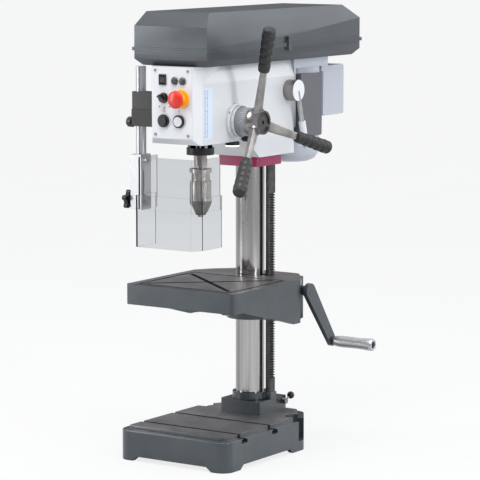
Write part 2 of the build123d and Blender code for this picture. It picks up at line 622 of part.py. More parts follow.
def make_head_casting():
    w = HEAD_HALF_WIDTH
    side = Plane.YZ * make_face(Polyline(*head_profile(0), close=True))
    body = extrude(side, w, both=True)
    hollow = Plane.YZ * make_face(Polyline(*head_profile(HEAD_WALL), close=True))
    hollow = extrude(hollow, w - HEAD_WALL, both=True)
    bosses = rod_z(QUILL_BORE + 11, 0, HEAD_TOP + 1, 0, SPINDLE_Y)
    bosses += rod_z(COLUMN_RADIUS + 12, COLLAR_TOP, COLUMN_TOP + 8)
    bosses += rod_x(PINION_BORE + 6, -w, w, FEED_Y, FEED_HEIGHT)
    bosses += rod_x(16, w - 30, w, TENSION_Y, TENSION_Z)
    bosses += rod_x(12, 0, w, LOCK_SCREW_Y, LOCK_SCREW_Z)
    bosses += block(-w, w, HEAD_FRONT, HEAD_FRONT + 61, 0, HEAD_TOP + 1)
    for x, z in HEAD_SCREWS:
        bosses += rod_y(6, HEAD_FRONT, HEAD_FRONT + 73, x, z)
    for x in (-w, w - 20):
        bosses += block(x, x + 20, HEAD_FRONT, HEAD_BACK, HEAD_TOP - 52, HEAD_TOP + 1)
    body -= hollow - bosses
    body -= block(-w, w, -FAR, FAR, HEAD_TOP, HEAD_TOP + 9)
    body -= block(-40, 40, HEAD_FRONT - 1, HEAD_FRONT + 53, PANEL_LOW + 18, HEAD_TOP - 20)
    # front corners and the sloping facet along each upper side, whose front end slants
    slant = Plane.YZ * make_face(Polyline(
        (HEAD_FRONT + CORNER_Y, HEAD_TOP - 41), (HEAD_FRONT + CORNER_Y + 74, HEAD_TOP + 1),
        (HEAD_BACK + 1, HEAD_TOP + 1), (HEAD_BACK + 1, HEAD_TOP - 41), close=True))
    for s in (-1, 1):
        body -= plate([(s * (w + 1), HEAD_FRONT + CORNER_Y + 1.5), (s * (w + 1), HEAD_FRONT - 1),
                       (s * (w - CORNER_X - 0.7), HEAD_FRONT - 1)], 0, FAR)
        facet = Plane.XZ * make_face(Polyline((s * (w + 0.01), HEAD_TOP - 40), (s * (w + 9), HEAD_TOP + 1),
                                              (s * (w - 12), HEAD_TOP + 1), close=True))
        facet = Pos(0, HEAD_BACK + 1, 0) * extrude(facet, HEAD_BACK + 1 - HEAD_FRONT, dir=(0, -1, 0))
        body -= facet & extrude(slant, FAR, both=True)
    body -= rod_z(QUILL_BORE, 0, HEAD_TOP - 24, 0, SPINDLE_Y)
    body -= rod_z(SLEEVE_RADIUS + FIT, 0, FAR, 0, SPINDLE_Y)
    body -= rod_z(COLUMN_RADIUS, 0, COLUMN_TOP)
    body -= rod_x(PINION_BORE, -PINION_HALF - 1, w + 1, FEED_Y, FEED_HEIGHT)
    body -= rod_x(FEED_SHAFT + FIT, -w - 1, 0, FEED_Y, FEED_HEIGHT)
    body -= rod_x(8 + FIT, w - 24, w + 1, TENSION_Y, TENSION_Z)
    body -= rod_x(5 + FIT, 0, w + 1, LOCK_SCREW_Y, LOCK_SCREW_Z)
    for x, z in HEAD_SCREWS:
        body -= rod_y(2, HEAD_FRONT - 1, HEAD_FRONT + 12, x, z)
    return body


def make_control_panel():
    """Thin plate with the openings that the switches sit in."""
    body = block(-PANEL_HALF, PANEL_HALF, -HEAD_NOSE_FRONT, HEAD_FRONT, PANEL_LOW, PANEL_HIGH)
    body = fillet(body.edges().filter_by(Axis.Y), 5)
    for x, z in HEAD_SCREWS:
        body -= rod_y(2.2, -FAR, 0, x, z)
    for x, z, r in PANEL_HOLES:
        body -= rod_y(r, -FAR, 0, x, z)
    return body - block(ROCKER_X - 8, ROCKER_X + 8, -FAR, 0, ROCKER_Z - 10, ROCKER_Z + 10)


def make_panel_screws():
    return screws([(x, FACE, z) for x, z in HEAD_SCREWS], 1.9, 3.5, 2, 10, HEAD_TO_FRONT)


def make_contact_block():
    """The switch contacts and board in the pocket behind the panel."""
    body = block(-38, 38, BLOCK_FRONT, BLOCK_FRONT + 20, PANEL_LOW + 22, HEAD_TOP - 24)
    for at in (STOP_AT, START_AT, ESTOP_AT):
        body -= rod_y(STEM + GAP, BLOCK_FRONT - 1, BLOCK_FRONT + 12, *at)
    return body


def make_rocker_frame():
    body = block(ROCKER_X - 10, ROCKER_X + 10, FACE - 3, FACE, ROCKER_Z - 12.5, ROCKER_Z + 12.5)
    body += block(ROCKER_X - 8, ROCKER_X + 8, FACE - 1, FACE + 14, ROCKER_Z - 10, ROCKER_Z + 10)
    return body - block(ROCKER_X - 7, ROCKER_X + 7, FACE - 4, FACE + 12, ROCKER_Z - 9.5, ROCKER_Z + 9.5)


def make_rocker():
    """Rocking key of the mains switch, turning about an axis along X."""
    key = rod_x(8.6, ROCKER_X - 6.6, ROCKER_X + 6.6, FACE + 2, ROCKER_Z)
    key -= block(-60, 60, FACE + 6, FACE + 30, ROCKER_Z - 20, ROCKER_Z + 20)
    dish = rod_x(40, -60, 60, FACE - 43, ROCKER_Z)
    return key - dish


def make_pilot_lamps():
    lamps = []
    for x, z in LAMPS:
        lamp = rod_y(9, FACE - 5, FACE, x, z) + rod_y(7, FACE - 1, FACE + 16, x, z)
        lamps.append(chamfer(lamp.faces().sort_by(Axis.Y)[0].edges(), 2))
    return group(lamps)


def ring_y(outer, inner, y0, y1, at):
    return rod_y(outer, y0, y1, *at) - rod_y(inner, y0 - 1, y1 + 1, *at)


def make_button_bezels():
    rings = []
    for at in (STOP_AT, START_AT):
        ring = ring_y(BUTTON_RADIUS, 11.5, FACE - 5, FACE, at)
        ring += ring_y(9, STEM + FIT, FACE - 0.5, FACE + 12, at) + ring_y(12, STEM + FIT, FACE - 1, FACE, at)
        rings.append(ring)
    return group(rings)


def button(at, y, head, radius):
    body = rod_y(radius, y, y + head, *at) + rod_y(STEM, y, BLOCK_FRONT + 3, *at)
    return body


def make_stop_button():
    return button(STOP_AT, FACE - 8, 2.6, 11.2)


def make_start_button():
    return button(START_AT, FACE - 8, 2.6, 11.2)


def make_estop_base():
    body = ring_y(22, STEM + FIT, FACE - 4, FACE, ESTOP_AT)
    return body + ring_y(12, STEM + FIT, FACE - 12, FACE - 3, ESTOP_AT) + ring_y(
        9, STEM + FIT, FACE - 1, FACE + 12, ESTOP_AT)


def make_estop_button():
    """Mushroom head of the emergency stop."""
    head = turned([(0, 0), (14, 0), (20.5, 4), (20.5, 10), (15, 13), (0, 13)])
    head = Pos(ESTOP_AT[0], FACE - 31, ESTOP_AT[1]) * Rot(-90, 0, 0) * head
    return head + rod_y(STEM, FACE - 20, BLOCK_FRONT + 3, *ESTOP_AT)


def make_selector_ring():
    bore = 5 + FIT
    return ring_y(12, bore, FACE - 3, FACE, SELECTOR_AT) + ring_y(8, bore, FACE - 1, FACE + 14, SELECTOR_AT)


def make_selector_knob():
    x, z = SELECTOR_AT
    body = rod_y(10, FACE - 9, FACE - 3 - GAP, x, z) + rod_y(5, FACE - 4, FACE + 12, x, z)
    handle = block(-3.2, 3.2, FACE - 17, FACE - 8, -9, 14)
    return body + Pos(x, 0, z) * Rot(0, 130, 0) * handle


def make_work_lamp():
    z = HEAD_BOTTOM
    return turned([(0, z - 14), (15, z - 14), (17, z - 11), (17, z - 3), (11, z), (0, z)], 50, SPINDLE_Y + 60)


def make_quill_lock():
    """Small clamp screw under the feed dial; it turns about X."""
    w = HEAD_HALF_WIDTH
    body = rod_x(5, w - 22, w + 8, LOCK_SCREW_Y, LOCK_SCREW_Z)
    knob = rod_x(9.5, w + 2, w + 18, LOCK_SCREW_Y, LOCK_SCREW_Z)
    for n in range(6):
        a = radians(60 * n)
        knob -= rod_x(2.5, w, w + 20, LOCK_SCREW_Y + 11 * cos(a), LOCK_SCREW_Z + 11 * sin(a))
    return body + knob


# ---------------------------------------------------------------- feed shaft, dial, hub and levers
SPRING_CASE = 32.0
LEVER_X = HUB_X + 10       # where the levers' axes cross the hub's axis
LEVER_LENGTH = LEVER_REACH / cos(radians(LEVER_RAKE))
SHAFT_LEFT = -HEAD_HALF_WIDTH - 20


def make_feed_flange():
    """Fixed flange beside the dial, spigoted into the head as the shaft's right bearing."""
    w = HEAD_HALF_WIDTH
    body = turned_x([(w, 0), (w, 40.5), (FLANGE_X - 2, 40.5), (FLANGE_X, 38.5), (FLANGE_X, 0)],
                    FEED_Y, FEED_HEIGHT)
    body += rod_x(PINION_BORE - FIT, PINION_HALF + 4, w + 1, FEED_Y, FEED_HEIGHT)
    return body - rod_x(FEED_SHAFT + FIT, 0, FAR, FEED_Y, FEED_HEIGHT)


def make_feed_shaft():
    """Shaft with the pinion cut on it; one tooth points at the quill's rack."""
    gear = involute_gear(PINION_TEETH, RACK_MODULE, 2 * PINION_HALF, 0.3)
    gear = Rot(180, 0, 0) * Rot(0, 0, 90) * gear
    gear = Pos(0, FEED_Y, FEED_HEIGHT) * Rot(0, 90, 0) * gear
    return gear + rod_x(FEED_SHAFT, SHAFT_LEFT, HUB_END - 8, FEED_Y, FEED_HEIGHT)


def make_spring_case():
    """Round case of the return spring on the head's left side."""
    w = -HEAD_HALF_WIDTH
    body = turned_x([(w - 26, 0), (w - 26, SPRING_CASE - 2), (w - 24, SPRING_CASE), (w, SPRING_CASE), (w, 0)],
                    FEED_Y, FEED_HEIGHT)
    body -= rod_x(SPRING_CASE - 4, w - 23, w - 3, FEED_Y, FEED_HEIGHT)
    return body - rod_x(FEED_SHAFT + FIT, w - 4, w + 1, FEED_Y, FEED_HEIGHT)


def make_return_spring():
    """The coiled return spring as a ring pack inside its case."""
    w = -HEAD_HALF_WIDTH
    rings = [tube_x(r + 0.8, r, w - 19, w - 6, FEED_Y, FEED_HEIGHT) for r in (14, 18, 22, 26)]
    return group(rings)


def make_depth_dial():
    low, high = FLANGE_X + GAP, DRUM_X - 6
    body = turned_x([(low, 0), (low, 37), (high, 37), (high, 0)], FEED_Y, FEED_HEIGHT)
    return body - rod_x(FEED_SHAFT, 0, FAR, FEED_Y, FEED_HEIGHT)


def make_feed_drum():
    body = turned_x([(DRUM_X - 6, 0), (DRUM_X - 6, 33), (HUB_X - 6, 33), (HUB_X - 4, 31), (HUB_X - 4, 0)],
                    FEED_Y, FEED_HEIGHT)
    return body - rod_x(FEED_SHAFT, 0, FAR, FEED_Y, FEED_HEIGHT)


def lever_frame(angle):
    """Places a lever modelled along its own +Z so that it leans out of the hub."""
    a = radians(angle)
    r = radians(LEVER_RAKE)
    out = Vector(sin(r), cos(r) * cos(a), cos(r) * sin(a))
    across = Vector(0, -sin(a), cos(a))
    return Plane(origin=(LEVER_X, FEED_Y, FEED_HEIGHT), x_dir=across, z_dir=out)


def lever_bar():
    start, end = 26.0, LEVER_LENGTH - GRIP_LENGTH
    bar = loft([Pos(0, 0, start) * RectangleRounded(24, 14, 4), Pos(0, 0, end) * RectangleRounded(17, 11, 3)])
    return bar + rod_z(6, 13, 30) + rod_z(5, end - 10, LEVER_LENGTH - 8)


def lever_grip():
    start, end = LEVER_LENGTH - GRIP_LENGTH, LEVER_LENGTH
    points = [(0, start), (12, start), (13.5, start + 3)]
    steps = 5
    pitch = (GRIP_LENGTH - 14) / steps
    for n in range(steps):
        z = start + 5 + n * pitch
        r = GRIP_RADIUS - 2 + 2 * n / (steps - 1)
        points += [(r - 0.6, z + 2), (r, z + pitch / 2), (r - 0.6, z + pitch - 4), (r - 2.2, z + pitch - 1)]
    points += [(GRIP_RADIUS - 0.5, end - 6), (GRIP_RADIUS - 3, end - 1), (GRIP_RADIUS - 5, end), (0, end)]
    return turned(points)


def make_lever(n):
    return lever_frame(LEVER_ANGLES[n]) * lever_bar()


def make_grip(n):
    return lever_frame(LEVER_ANGLES[n]) * (lever_grip() - rod_z(5, 0, LEVER_LENGTH - 8) - lever_bar())


def make_feed_hub():
    body = turned_x([(HUB_X - 4, 0), (HUB_X - 4, 30), (HUB_X + 2, 30), (HUB_X + 8, 27), (HUB_END - 10, 27),
                     (HUB_END - 7, 28), (HUB_END, 28), (HUB_END, 21.5), (HUB_END - 8, 21.5),
                     (HUB_END - 8, 0)], FEED_Y, FEED_HEIGHT)
    for angle in LEVER_ANGLES:
        body += lever_frame(angle) * rod_z(14, 10, 32)
    for angle in LEVER_ANGLES:
        body -= lever_frame(angle) * lever_bar()
    return body - rod_x(FEED_SHAFT, 0, HUB_END - 8, FEED_Y, FEED_HEIGHT)


def make_hub_screw():
    body = rod_x(21, HUB_END - 8, HUB_END - 3, FEED_Y, FEED_HEIGHT)
    socket = Pos(HUB_END - 6, FEED_Y, FEED_HEIGHT) * Rot(0, 90, 0) * extrude(RegularPolygon(5, 6), 4)
    return body - socket


# ---------------------------------------------------------------- quill, spindle and chuck
SPINDLE_IN = SPINDLE_RADIUS + 1
BEARING_OUT = QUILL_RADIUS - 6
NOSE_RADIUS = 15.0
SPLINE_ROOT = SPINDLE_RADIUS - 1.5
SPLINE_TOP = COVER_TOP - 14
ARBOR = 8.5
SHELL_TOP = CHUCK_TOP - 28
SHELL_BOTTOM = CHUCK_TIP + 39


def make_quill():
    body = rod_z(QUILL_RADIUS, QUILL_BOTTOM, QUILL_TOP, 0, SPINDLE_Y)
    body -= rod_z(BEARING_OUT - 4, 0, FAR, 0, SPINDLE_Y)
    body -= rod_z(BEARING_OUT, 0, QUILL_BOTTOM + 16, 0, SPINDLE_Y)
    body -= rod_z(BEARING_OUT, QUILL_TOP - 16, FAR, 0, SPINDLE_Y)
    turn = Pos(0, SPINDLE_Y + QUILL_RADIUS - RACK_MODULE, 0) * Rot(0, 0, 90)
    space = rack_tooth_space(RACK_MODULE, 40)
    teeth = range(-2, int(QUILL_TRAVEL / TOOTH_PITCH) + 3)
    return body - [turn * Pos(0, 0, FEED_HEIGHT + n * TOOTH_PITCH) * space for n in teeth]


def make_quill_collar():
    body = tube_z(QUILL_RADIUS + 3.5, QUILL_RADIUS, QUILL_BOTTOM, QUILL_BOTTOM + 17, 0, SPINDLE_Y)
    top_edges = body.edges().filter_by(GeomType.CIRCLE).group_by(Axis.Z)[-1]
    return chamfer(top_edges.sort_by(SortBy.RADIUS)[-1:], 1)


def make_quill_bearings():
    low = tube_z(BEARING_OUT, SPINDLE_IN + FIT, QUILL_BOTTOM, QUILL_BOTTOM + 16, 0, SPINDLE_Y)
    high = tube_z(BEARING_OUT, SPINDLE_IN + FIT, QUILL_TOP - 16, QUILL_TOP, 0, SPINDLE_Y)
    return group([low, high])


def splined(root, tip, width, z0, z1):
    """A six-spline shaft or the hole for one."""
    body = rod_z(root, z0, z1)
    for n in range(3):
        body += Rot(0, 0, 60 * n) * block(-tip, tip, -width / 2, width / 2, z0, z1)
    return body & rod_z(tip, z0, z1)


def make_spindle():
    body = rod_z(NOSE_RADIUS, CHUCK_TOP + 5, QUILL_BOTTOM - GAP)
    body += rod_z(SPINDLE_IN, QUILL_BOTTOM - 1, QUILL_TOP + 1)
    body += splined(SPLINE_ROOT, SPINDLE_RADIUS, 4, QUILL_TOP, SPLINE_TOP)
    body -= rod_z(ARBOR, CHUCK_TOP, QUILL_BOTTOM - 4)
    return Pos(0, SPINDLE_Y, 0) * body


def make_chuck_arbor():
    return rod_z(ARBOR, CHUCK_TOP - 20, QUILL_BOTTOM - 4, 0, SPINDLE_Y)


def jaw_frame(n):
    """A jaw's own frame: its tip at the origin, +Z along the way it draws back."""
    a = radians(90 + 120 * n)
    lean = radians(JAW_LEAN)
    offset = JAW_RADIUS / sin(radians(60)) + 0.3
    away = Vector(sin(lean) * cos(a), sin(lean) * sin(a), cos(lean))
    return Plane(origin=(offset * cos(a), SPINDLE_Y + offset * sin(a), CHUCK_TIP), z_dir=away)


def make_chuck_core():
    """The chuck's body: collar, neck and the three slanting jaw channels."""
    r = CHUCK_CORE_RADIUS
    body = turned([(0, SHELL_BOTTOM - 22), (9, SHELL_BOTTOM - 22), (17, SHELL_BOTTOM), (r, SHELL_BOTTOM + 3),
                   (r, SHELL_TOP + GAP), (21, SHELL_TOP + GAP), (21, CHUCK_TOP - 9),
                   (25, CHUCK_TOP - 9), (25, CHUCK_TOP), (0, CHUCK_TOP)], 0, SPINDLE_Y)
    body -= rod_z(ARBOR, CHUCK_TOP - 20, FAR, 0, SPINDLE_Y)
    body -= rod_z(9.5, 0, SHELL_BOTTOM + 24, 0, SPINDLE_Y)
    for n in range(3):
        body -= jaw_frame(n) * rod_z(JAW_RADIUS + FIT, -5, JAW_LENGTH + JAW_TRAVEL + 2)
    return body


def make_chuck_sleeve():
    """Knurled sleeve that is turned to move the jaws."""
    bore = CHUCK_CORE_RADIUS + FIT
    sleeve = turned([(bore, SHELL_BOTTOM), (CHUCK_RADIUS, SHELL_BOTTOM), (CHUCK_RADIUS, SHELL_TOP - 3),
                     (CHUCK_RADIUS - 2, SHELL_TOP), (bore, SHELL_TOP)], 0, SPINDLE_Y)
    for n in range(24):
        a = radians(15 * n)
        x, y = (CHUCK_RADIUS + 0.4) * cos(a), SPINDLE_Y + (CHUCK_RADIUS + 0.4) * sin(a)
        sleeve -= rod_z(1.1, SHELL_BOTTOM + 4, SHELL_TOP - 6, x, y)
    return sleeve


def make_chuck_nose():
    """Scalloped cone in front of the sleeve."""
    top, low = SHELL_BOTTOM, CHUCK_TIP + 5
    cone = turned([(20, top), (CHUCK_RADIUS, top), (CHUCK_RADIUS - 1, top - 8), (11.4, low), (9.2, low),
                   (11.3, SHELL_BOTTOM - 22.5), (19, top - 0.5)], 0, SPINDLE_Y)
    for n in range(6):
        a = radians(60 * n + 30)
        x, y = 30 * cos(a), SPINDLE_Y + 30 * sin(a)
        cone -= rod_z(8.2, low - 5, top - 6, x, y)
    return cone


def make_jaw(n):
    body = jaw_frame(n) * rod_z(JAW_RADIUS, -3, JAW_LENGTH)
    return body - block(-30, 30, SPINDLE_Y - 30, SPINDLE_Y + 30, CHUCK_TIP - 20, CHUCK_TIP)


# ---------------------------------------------------------------- belt drive
STEP_HEIGHT = 20.0
STACK_BOTTOM = HEAD_TOP + 42
STEP_DROP = 12.0
GROOVE = 7.0
BELT_STEP = 1


def pulley_stack(radii, hub, low):
    """Stepped V-pulley; the steps are listed from the lowest up."""
    body = rod_z(hub, low, STACK_BOTTOM + 3 * STEP_HEIGHT)
    for n, r in enumerate(radii):
        z = STACK_BOTTOM + n * STEP_HEIGHT
        top = z + STEP_HEIGHT
        body += turned([(0, z), (r, z), (r, z + 3), (r - GROOVE, z + 5.5), (r - GROOVE, top - 5.5),
                        (r, top - 3), (r, top), (0, top)])
    return body


def spindle_steps():
    return [SPINDLE_PULLEY_RADIUS - STEP_DROP * n for n in range(3)]


def motor_steps():
    return [MOTOR_PULLEY_RADIUS + STEP_DROP * n for n in range(3)]


def make_spindle_pulley():
    body = pulley_stack(spindle_steps(), SLEEVE_RADIUS, HEAD_TOP - 22)
    body -= splined(SPLINE_ROOT + 0.1, SPINDLE_RADIUS + 0.1, 4.2, HEAD_TOP - 30, FAR)
    return Pos(0, SPINDLE_Y, 0) * body


def make_motor_pulley():
    body = pulley_stack(motor_steps(), SLEEVE_RADIUS, STACK_BOTTOM - 3)
    body -= rod_z(MOTOR_SHAFT_RADIUS, 0, FAR)
    return Pos(0, MOTOR_Y, 0) * body


def belt_face(r1, r2):
    """The area inside a loop round two circles on the Y axis."""
    span = MOTOR_Y - SPINDLE_Y
    lean = asin((r1 - r2) / span)
    corners = []
    for s in (1, -1):
        corners.append((s * r1 * cos(lean), SPINDLE_Y + r1 * sin(lean)))
    for s in (-1, 1):
        corners.append((s * r2 * cos(lean), MOTOR_Y + r2 * sin(lean)))
    ends = Pos(0, SPINDLE_Y) * Circle(r1) + Pos(0, MOTOR_Y) * Circle(r2)
    return make_face(Polyline(*corners, close=True)) + ends


def make_belt():
    r1 = spindle_steps()[BELT_STEP] - GROOVE + 0.3
    r2 = motor_steps()[BELT_STEP] - GROOVE + 0.3
    z = STACK_BOTTOM + BELT_STEP * STEP_HEIGHT + STEP_HEIGHT / 2
    loop = belt_face(r1 + BELT_THICKNESS, r2 + BELT_THICKNESS) - belt_face(r1, r2)
    return Pos(0, 0, z - 4) * extrude(loop, 8, dir=(0, 0, 1))


# ---------------------------------------------------------------- motor and electrics
MOTOR_CAP = 42.0
DRIVE_FRONT = MOTOR_Y + MOTOR_RADIUS + 2
DRIVE_BACK = DRIVE_FRONT + 96
DRIVE_TOP = MOTOR_TOP - 2
DRIVE_BOTTOM = DRIVE_TOP - 124
GLAND_Y = DRIVE_FRONT + 53


def make_motor_housing():
    low = MOTOR_BOTTOM + MOTOR_CAP
    body = tube_z(MOTOR_RADIUS, MOTOR_RADIUS - MOTOR_WALL, low, MOTOR_TOP, 0, MOTOR_Y)
    top = tube_z(MOTOR_RADIUS, MOTOR_SHAFT_RADIUS + FIT, MOTOR_TOP - 12, MOTOR_TOP, 0, MOTOR_Y)
    return body + top


def make_motor_cap():
    """Rounded lower cover with the lower bearing seat and cooling slots."""
    z0, z1, r = MOTOR_BOTTOM, MOTOR_BOTTOM + MOTOR_CAP, MOTOR_RADIUS
    body = turned([(0, z0), (r - 26, z0), (r - 12, z0 + 6), (r - 3, z0 + 18), (r, z0 + 30), (r, z1),
                   (r - 4, z1), (r - 4, z0 + 31), (r - 7, z0 + 20), (r - 15, z0 + 10), (r - 27, z0 + 4),
                   (0, z0 + 4)], 0, MOTOR_Y)
    body += tube_z(18, MOTOR_SHAFT_RADIUS + FIT, z0 + 3, z0 + 26, 0, MOTOR_Y)
    for n in range(-3, 4):
        body -= block(n * 12 - 2.5, n * 12 + 2.5, MOTOR_Y - 30, MOTOR_Y + 30, z0 - 1, z0 + 2.5)
    return body


def make_motor_stator():
    z0 = MOTOR_BOTTOM + MOTOR_CAP + 14
    return tube_z(MOTOR_RADIUS - MOTOR_WALL, 42, z0, z0 + 110, 0, MOTOR_Y)


def make_motor_rotor():
    z0 = MOTOR_BOTTOM + MOTOR_CAP + 14
    body = rod_z(MOTOR_SHAFT_RADIUS, MOTOR_BOTTOM + 6, SPLINE_TOP, 0, MOTOR_Y)
    return body + rod_z(41.4, z0, z0 + 110, 0, MOTOR_Y)


def make_motor_bracket():
    """Plate behind the head that carries the motor, with a cheek on each side."""
    w = HEAD_HALF_WIDTH
    body = block(-w, w, HEAD_BACK, MOTOR_Y + MOTOR_RADIUS, MOTOR_TOP, HEAD_TOP)
    body = fillet(upright_edges(body), 10)
    body += block(-w, w, HEAD_BACK, HEAD_BACK + 8, PANEL_LOW, HEAD_TOP)
    return body - rod_z(20, 0, FAR, 0, MOTOR_Y) - rod_z(MOTOR_RADIUS, 0, MOTOR_TOP, 0, MOTOR_Y)


def make_terminal_box():
    body = block(MOTOR_RADIUS - 17, MOTOR_RADIUS + 9, HEAD_BACK + 11, MOTOR_Y + 20,
                 MOTOR_BOTTOM + 65, MOTOR_TOP - 14)
    body = fillet(body.edges().filter_by(Axis.X), 6)
    return body - rod_z(MOTOR_RADIUS, 0, FAR, 0, MOTOR_Y)


def make_drive_box():
    """Box of the motor's drive behind the motor, hung from the bracket."""
    body = block(-52, 52, DRIVE_FRONT, DRIVE_BACK, DRIVE_BOTTOM, DRIVE_TOP)
    body = chamfer(body.edges().filter_by(Axis.X), 5)
    body -= block(-48, 48, DRIVE_FRONT + 4, DRIVE_BACK - 4, DRIVE_BOTTOM + 4, DRIVE_TOP - 4)
    body -= rod_z(9, 0, DRIVE_BOTTOM + 14, 0, GLAND_Y)
    for x in (-44, 44):
        body += block(x - 8, x + 8, DRIVE_FRONT - 9, DRIVE_FRONT + 15, DRIVE_TOP - 14, MOTOR_TOP)
    return body


def make_drive_board():
    y, z = DRIVE_FRONT + 15, DRIVE_BOTTOM + 14
    return block(-44, 44, y, y + 4, z, z + 96) + block(-30, 30, y + 4, y + 28, z + 20, z + 80)


def make_cable_gland():
    z = DRIVE_BOTTOM
    profile = [(0, z - 18), (13, z - 18), (13, z - 6), (10, z), (9, z), (9, z + 8), (0, z + 8)]
    body = turned(profile, 0, GLAND_Y)
    return body - rod_z(4.5, 0, FAR, 0, GLAND_Y)


def make_tension_lever():
    """Belt-tension lever: round hub, thin rod and a sleeve at the end."""
    w = HEAD_HALF_WIDTH
    end = (w + 25, TENSION_Y + 30, TENSION_Z - 108)
    body = rod_x(8, w - 22, w + 2, TENSION_Y, TENSION_Z) + rod_x(25.5, w + 1, w + 29, TENSION_Y, TENSION_Z)
    return body + rod(5.5, (w + 25, TENSION_Y, TENSION_Z), end)


def make_tension_grip():
    w = HEAD_HALF_WIDTH
    start = Vector(w + 25, TENSION_Y + 21, TENSION_Z - 76)
    end = Vector(w + 25, TENSION_Y + 31, TENSION_Z - 111.6)
    return rod(8.5, tuple(start), tuple(end)) - make_tension_lever()


# ---------------------------------------------------------------- belt cover
FOOT = 15.0            # height of the tray's sloping foot
FOOT_IN_X = 12.0
FOOT_IN_Y = 18.0
CROWN_IN_X = 14.0      # how far the crown is drawn in at the sides, the front and the back
CROWN_IN_FRONT = 29.0
CROWN_IN_BACK = 60.0
COVER_RECT = (-COVER_HALF_WIDTH, COVER_HALF_WIDTH, -COVER_FRONT, COVER_BACK)
SEAM = 0.4
LIP = 4.0
HINGE_X = -COVER_HALF_WIDTH - RIM_OUT - 3
HINGE_Z = COVER_RIM + SEAM / 2
HINGE_PIN = 1.5
HINGE_BARREL = 3.0
HINGES_Y = (-200.0, 200.0)
KNUCKLE = 16.0


def cover_shell(foot, side, top, z0, z1, z2):
    """Two stacked frustums: rectangle 'foot' at z0, 'side' at z1 and 'top' at z2."""
    return frustum(foot, side, z0, z1) + frustum(side, top, z1, z2)


def make_cover_tray():
    t = COVER_WALL
    rect, foot = COVER_RECT, inset(COVER_RECT, FOOT_IN_X, FOOT_IN_Y)
    body = cover_shell(foot, rect, rect, HEAD_TOP, HEAD_TOP + FOOT, COVER_RIM)
    rim = inset(rect, -RIM_OUT, -RIM_OUT)
    body += frustum(rim, rim, COVER_RIM - LIP, COVER_RIM)
    inner, low = inset(rect, t, t), inset(foot, t, t)
    body -= cover_shell(low, inner, inner, HEAD_TOP + t, HEAD_TOP + FOOT + 1, COVER_RIM + 1)
    body -= rod_z(SLEEVE_RADIUS + 4, 0, FAR, 0, SPINDLE_Y)
    body -= rod_z(SLEEVE_RADIUS + 2, 0, FAR, 0, MOTOR_Y)
    for y in HINGES_Y:
        body += hinge_leaf(y, True)
    return body


def make_cover_lid():
    t = COVER_WALL
    rect = COVER_RECT
    crown = (rect[0] + CROWN_IN_X, rect[1] - CROWN_IN_X, rect[2] + CROWN_IN_FRONT, rect[3] - CROWN_IN_BACK)
    low = COVER_RIM + SEAM
    body = cover_shell(rect, rect, crown, low, COVER_SIDE_TOP, COVER_TOP)
    lip = inset(rect, -RIM_OUT, -RIM_OUT)
    body += frustum(lip, lip, low, low + LIP)
    inner, top = inset(rect, t, t), inset(crown, t, t)
    body -= cover_shell(inner, inner, top, low - 1, COVER_SIDE_TOP - 1, COVER_TOP - t)
    for y in HINGES_Y:
        body += hinge_leaf(y, False)
    return body + lid_latch()


def hinge_leaf(y, low):
    """Leaf and knuckles of one hinge, on the tray (low) or on the lid."""
    x1 = -COVER_HALF_WIDTH - RIM_OUT
    z0, z1 = (COVER_RIM - LIP, HINGE_Z) if low else (HINGE_Z, COVER_RIM + SEAM + LIP)
    sides = (-1, 1) if low else (0,)
    body = None
    for s in sides:
        y0, y1 = y + s * (KNUCKLE + GAP) - KNUCKLE / 2, y + s * (KNUCKLE + GAP) + KNUCKLE / 2
        part = rod_y(HINGE_BARREL, y0, y1, HINGE_X, HINGE_Z)
        if low:
            part += block(HINGE_X - 0.5, x1, y0, y1, z0, HINGE_Z - 0.8)
        else:
            part += block(HINGE_X - 0.5, x1, y0, y1, HINGE_Z + 0.8, z1)
        body = part if body is None else body + part
    return body - rod_y(HINGE_PIN + (0 if low else FIT), y - 60, y + 60, HINGE_X, HINGE_Z)


def make_hinge_pins():
    reach = 1.5 * KNUCKLE + GAP
    return group([rod_y(HINGE_PIN, y - reach, y + reach, HINGE_X, HINGE_Z) for y in HINGES_Y])


def lid_latch():
    """Spring clip on the lid that hooks past the tray's rim."""
    x = COVER_HALF_WIDTH
    body = block(x, x + RIM_OUT + 3, 2, 14, COVER_RIM + 10, COVER_RIM + 20)
    body += block(x + RIM_OUT + 0.8, x + RIM_OUT + 3, 2, 14, COVER_RIM - 14, COVER_RIM + 20)
    return body


# ---------------------------------------------------------------- chuck guard
BLOCK_LEFT = POST_X - 16.5
BLOCK_FRONT_Y = POST_Y - 16
BLOCK_BACK_Y = POST_Y + 16
BLOCK_TOP = HEAD_TOP - 65
BLOCK_SEAM = BLOCK_TOP - 40.5
BLOCK_BOTTOM = BLOCK_TOP - 81
POST_TOP = HEAD_TOP - 6
BRACKET_TOP = HEAD_BOTTOM - 31
GUARD_BRACKET_BOTTOM = BRACKET_TOP - SHIELD_TRAVEL - 62
GUARD_KNOB_Z = BLOCK_BOTTOM + 8
STAR_Y = POST_Y - 15.6
STAR_Z = GUARD_BRACKET_BOTTOM + 22
STAR_ROD = 3.0
SHIELD_LEFT = POST_X + 21
SHIELD_LOW = STAR_Z - 106
SHIELD_HIGH = STAR_Z + 16
UPPER_LOW = STAR_Z - 18
UPPER_HIGH = BRACKET_TOP - 3
SHIELD_SCREW = 2.5
SCREW_Z = BRACKET_TOP - 13
SCREWS_Y = (STAR_Y, POST_Y - 2)
GUARD_WALL = 3.0
GUARD_X0 = POST_X - POST_RADIUS - 2
GUARD_X1 = POST_X + POST_RADIUS + 4
CLAMP_SWING = POST_OUT - 1          # radius that the lower block stays within, clear of the head


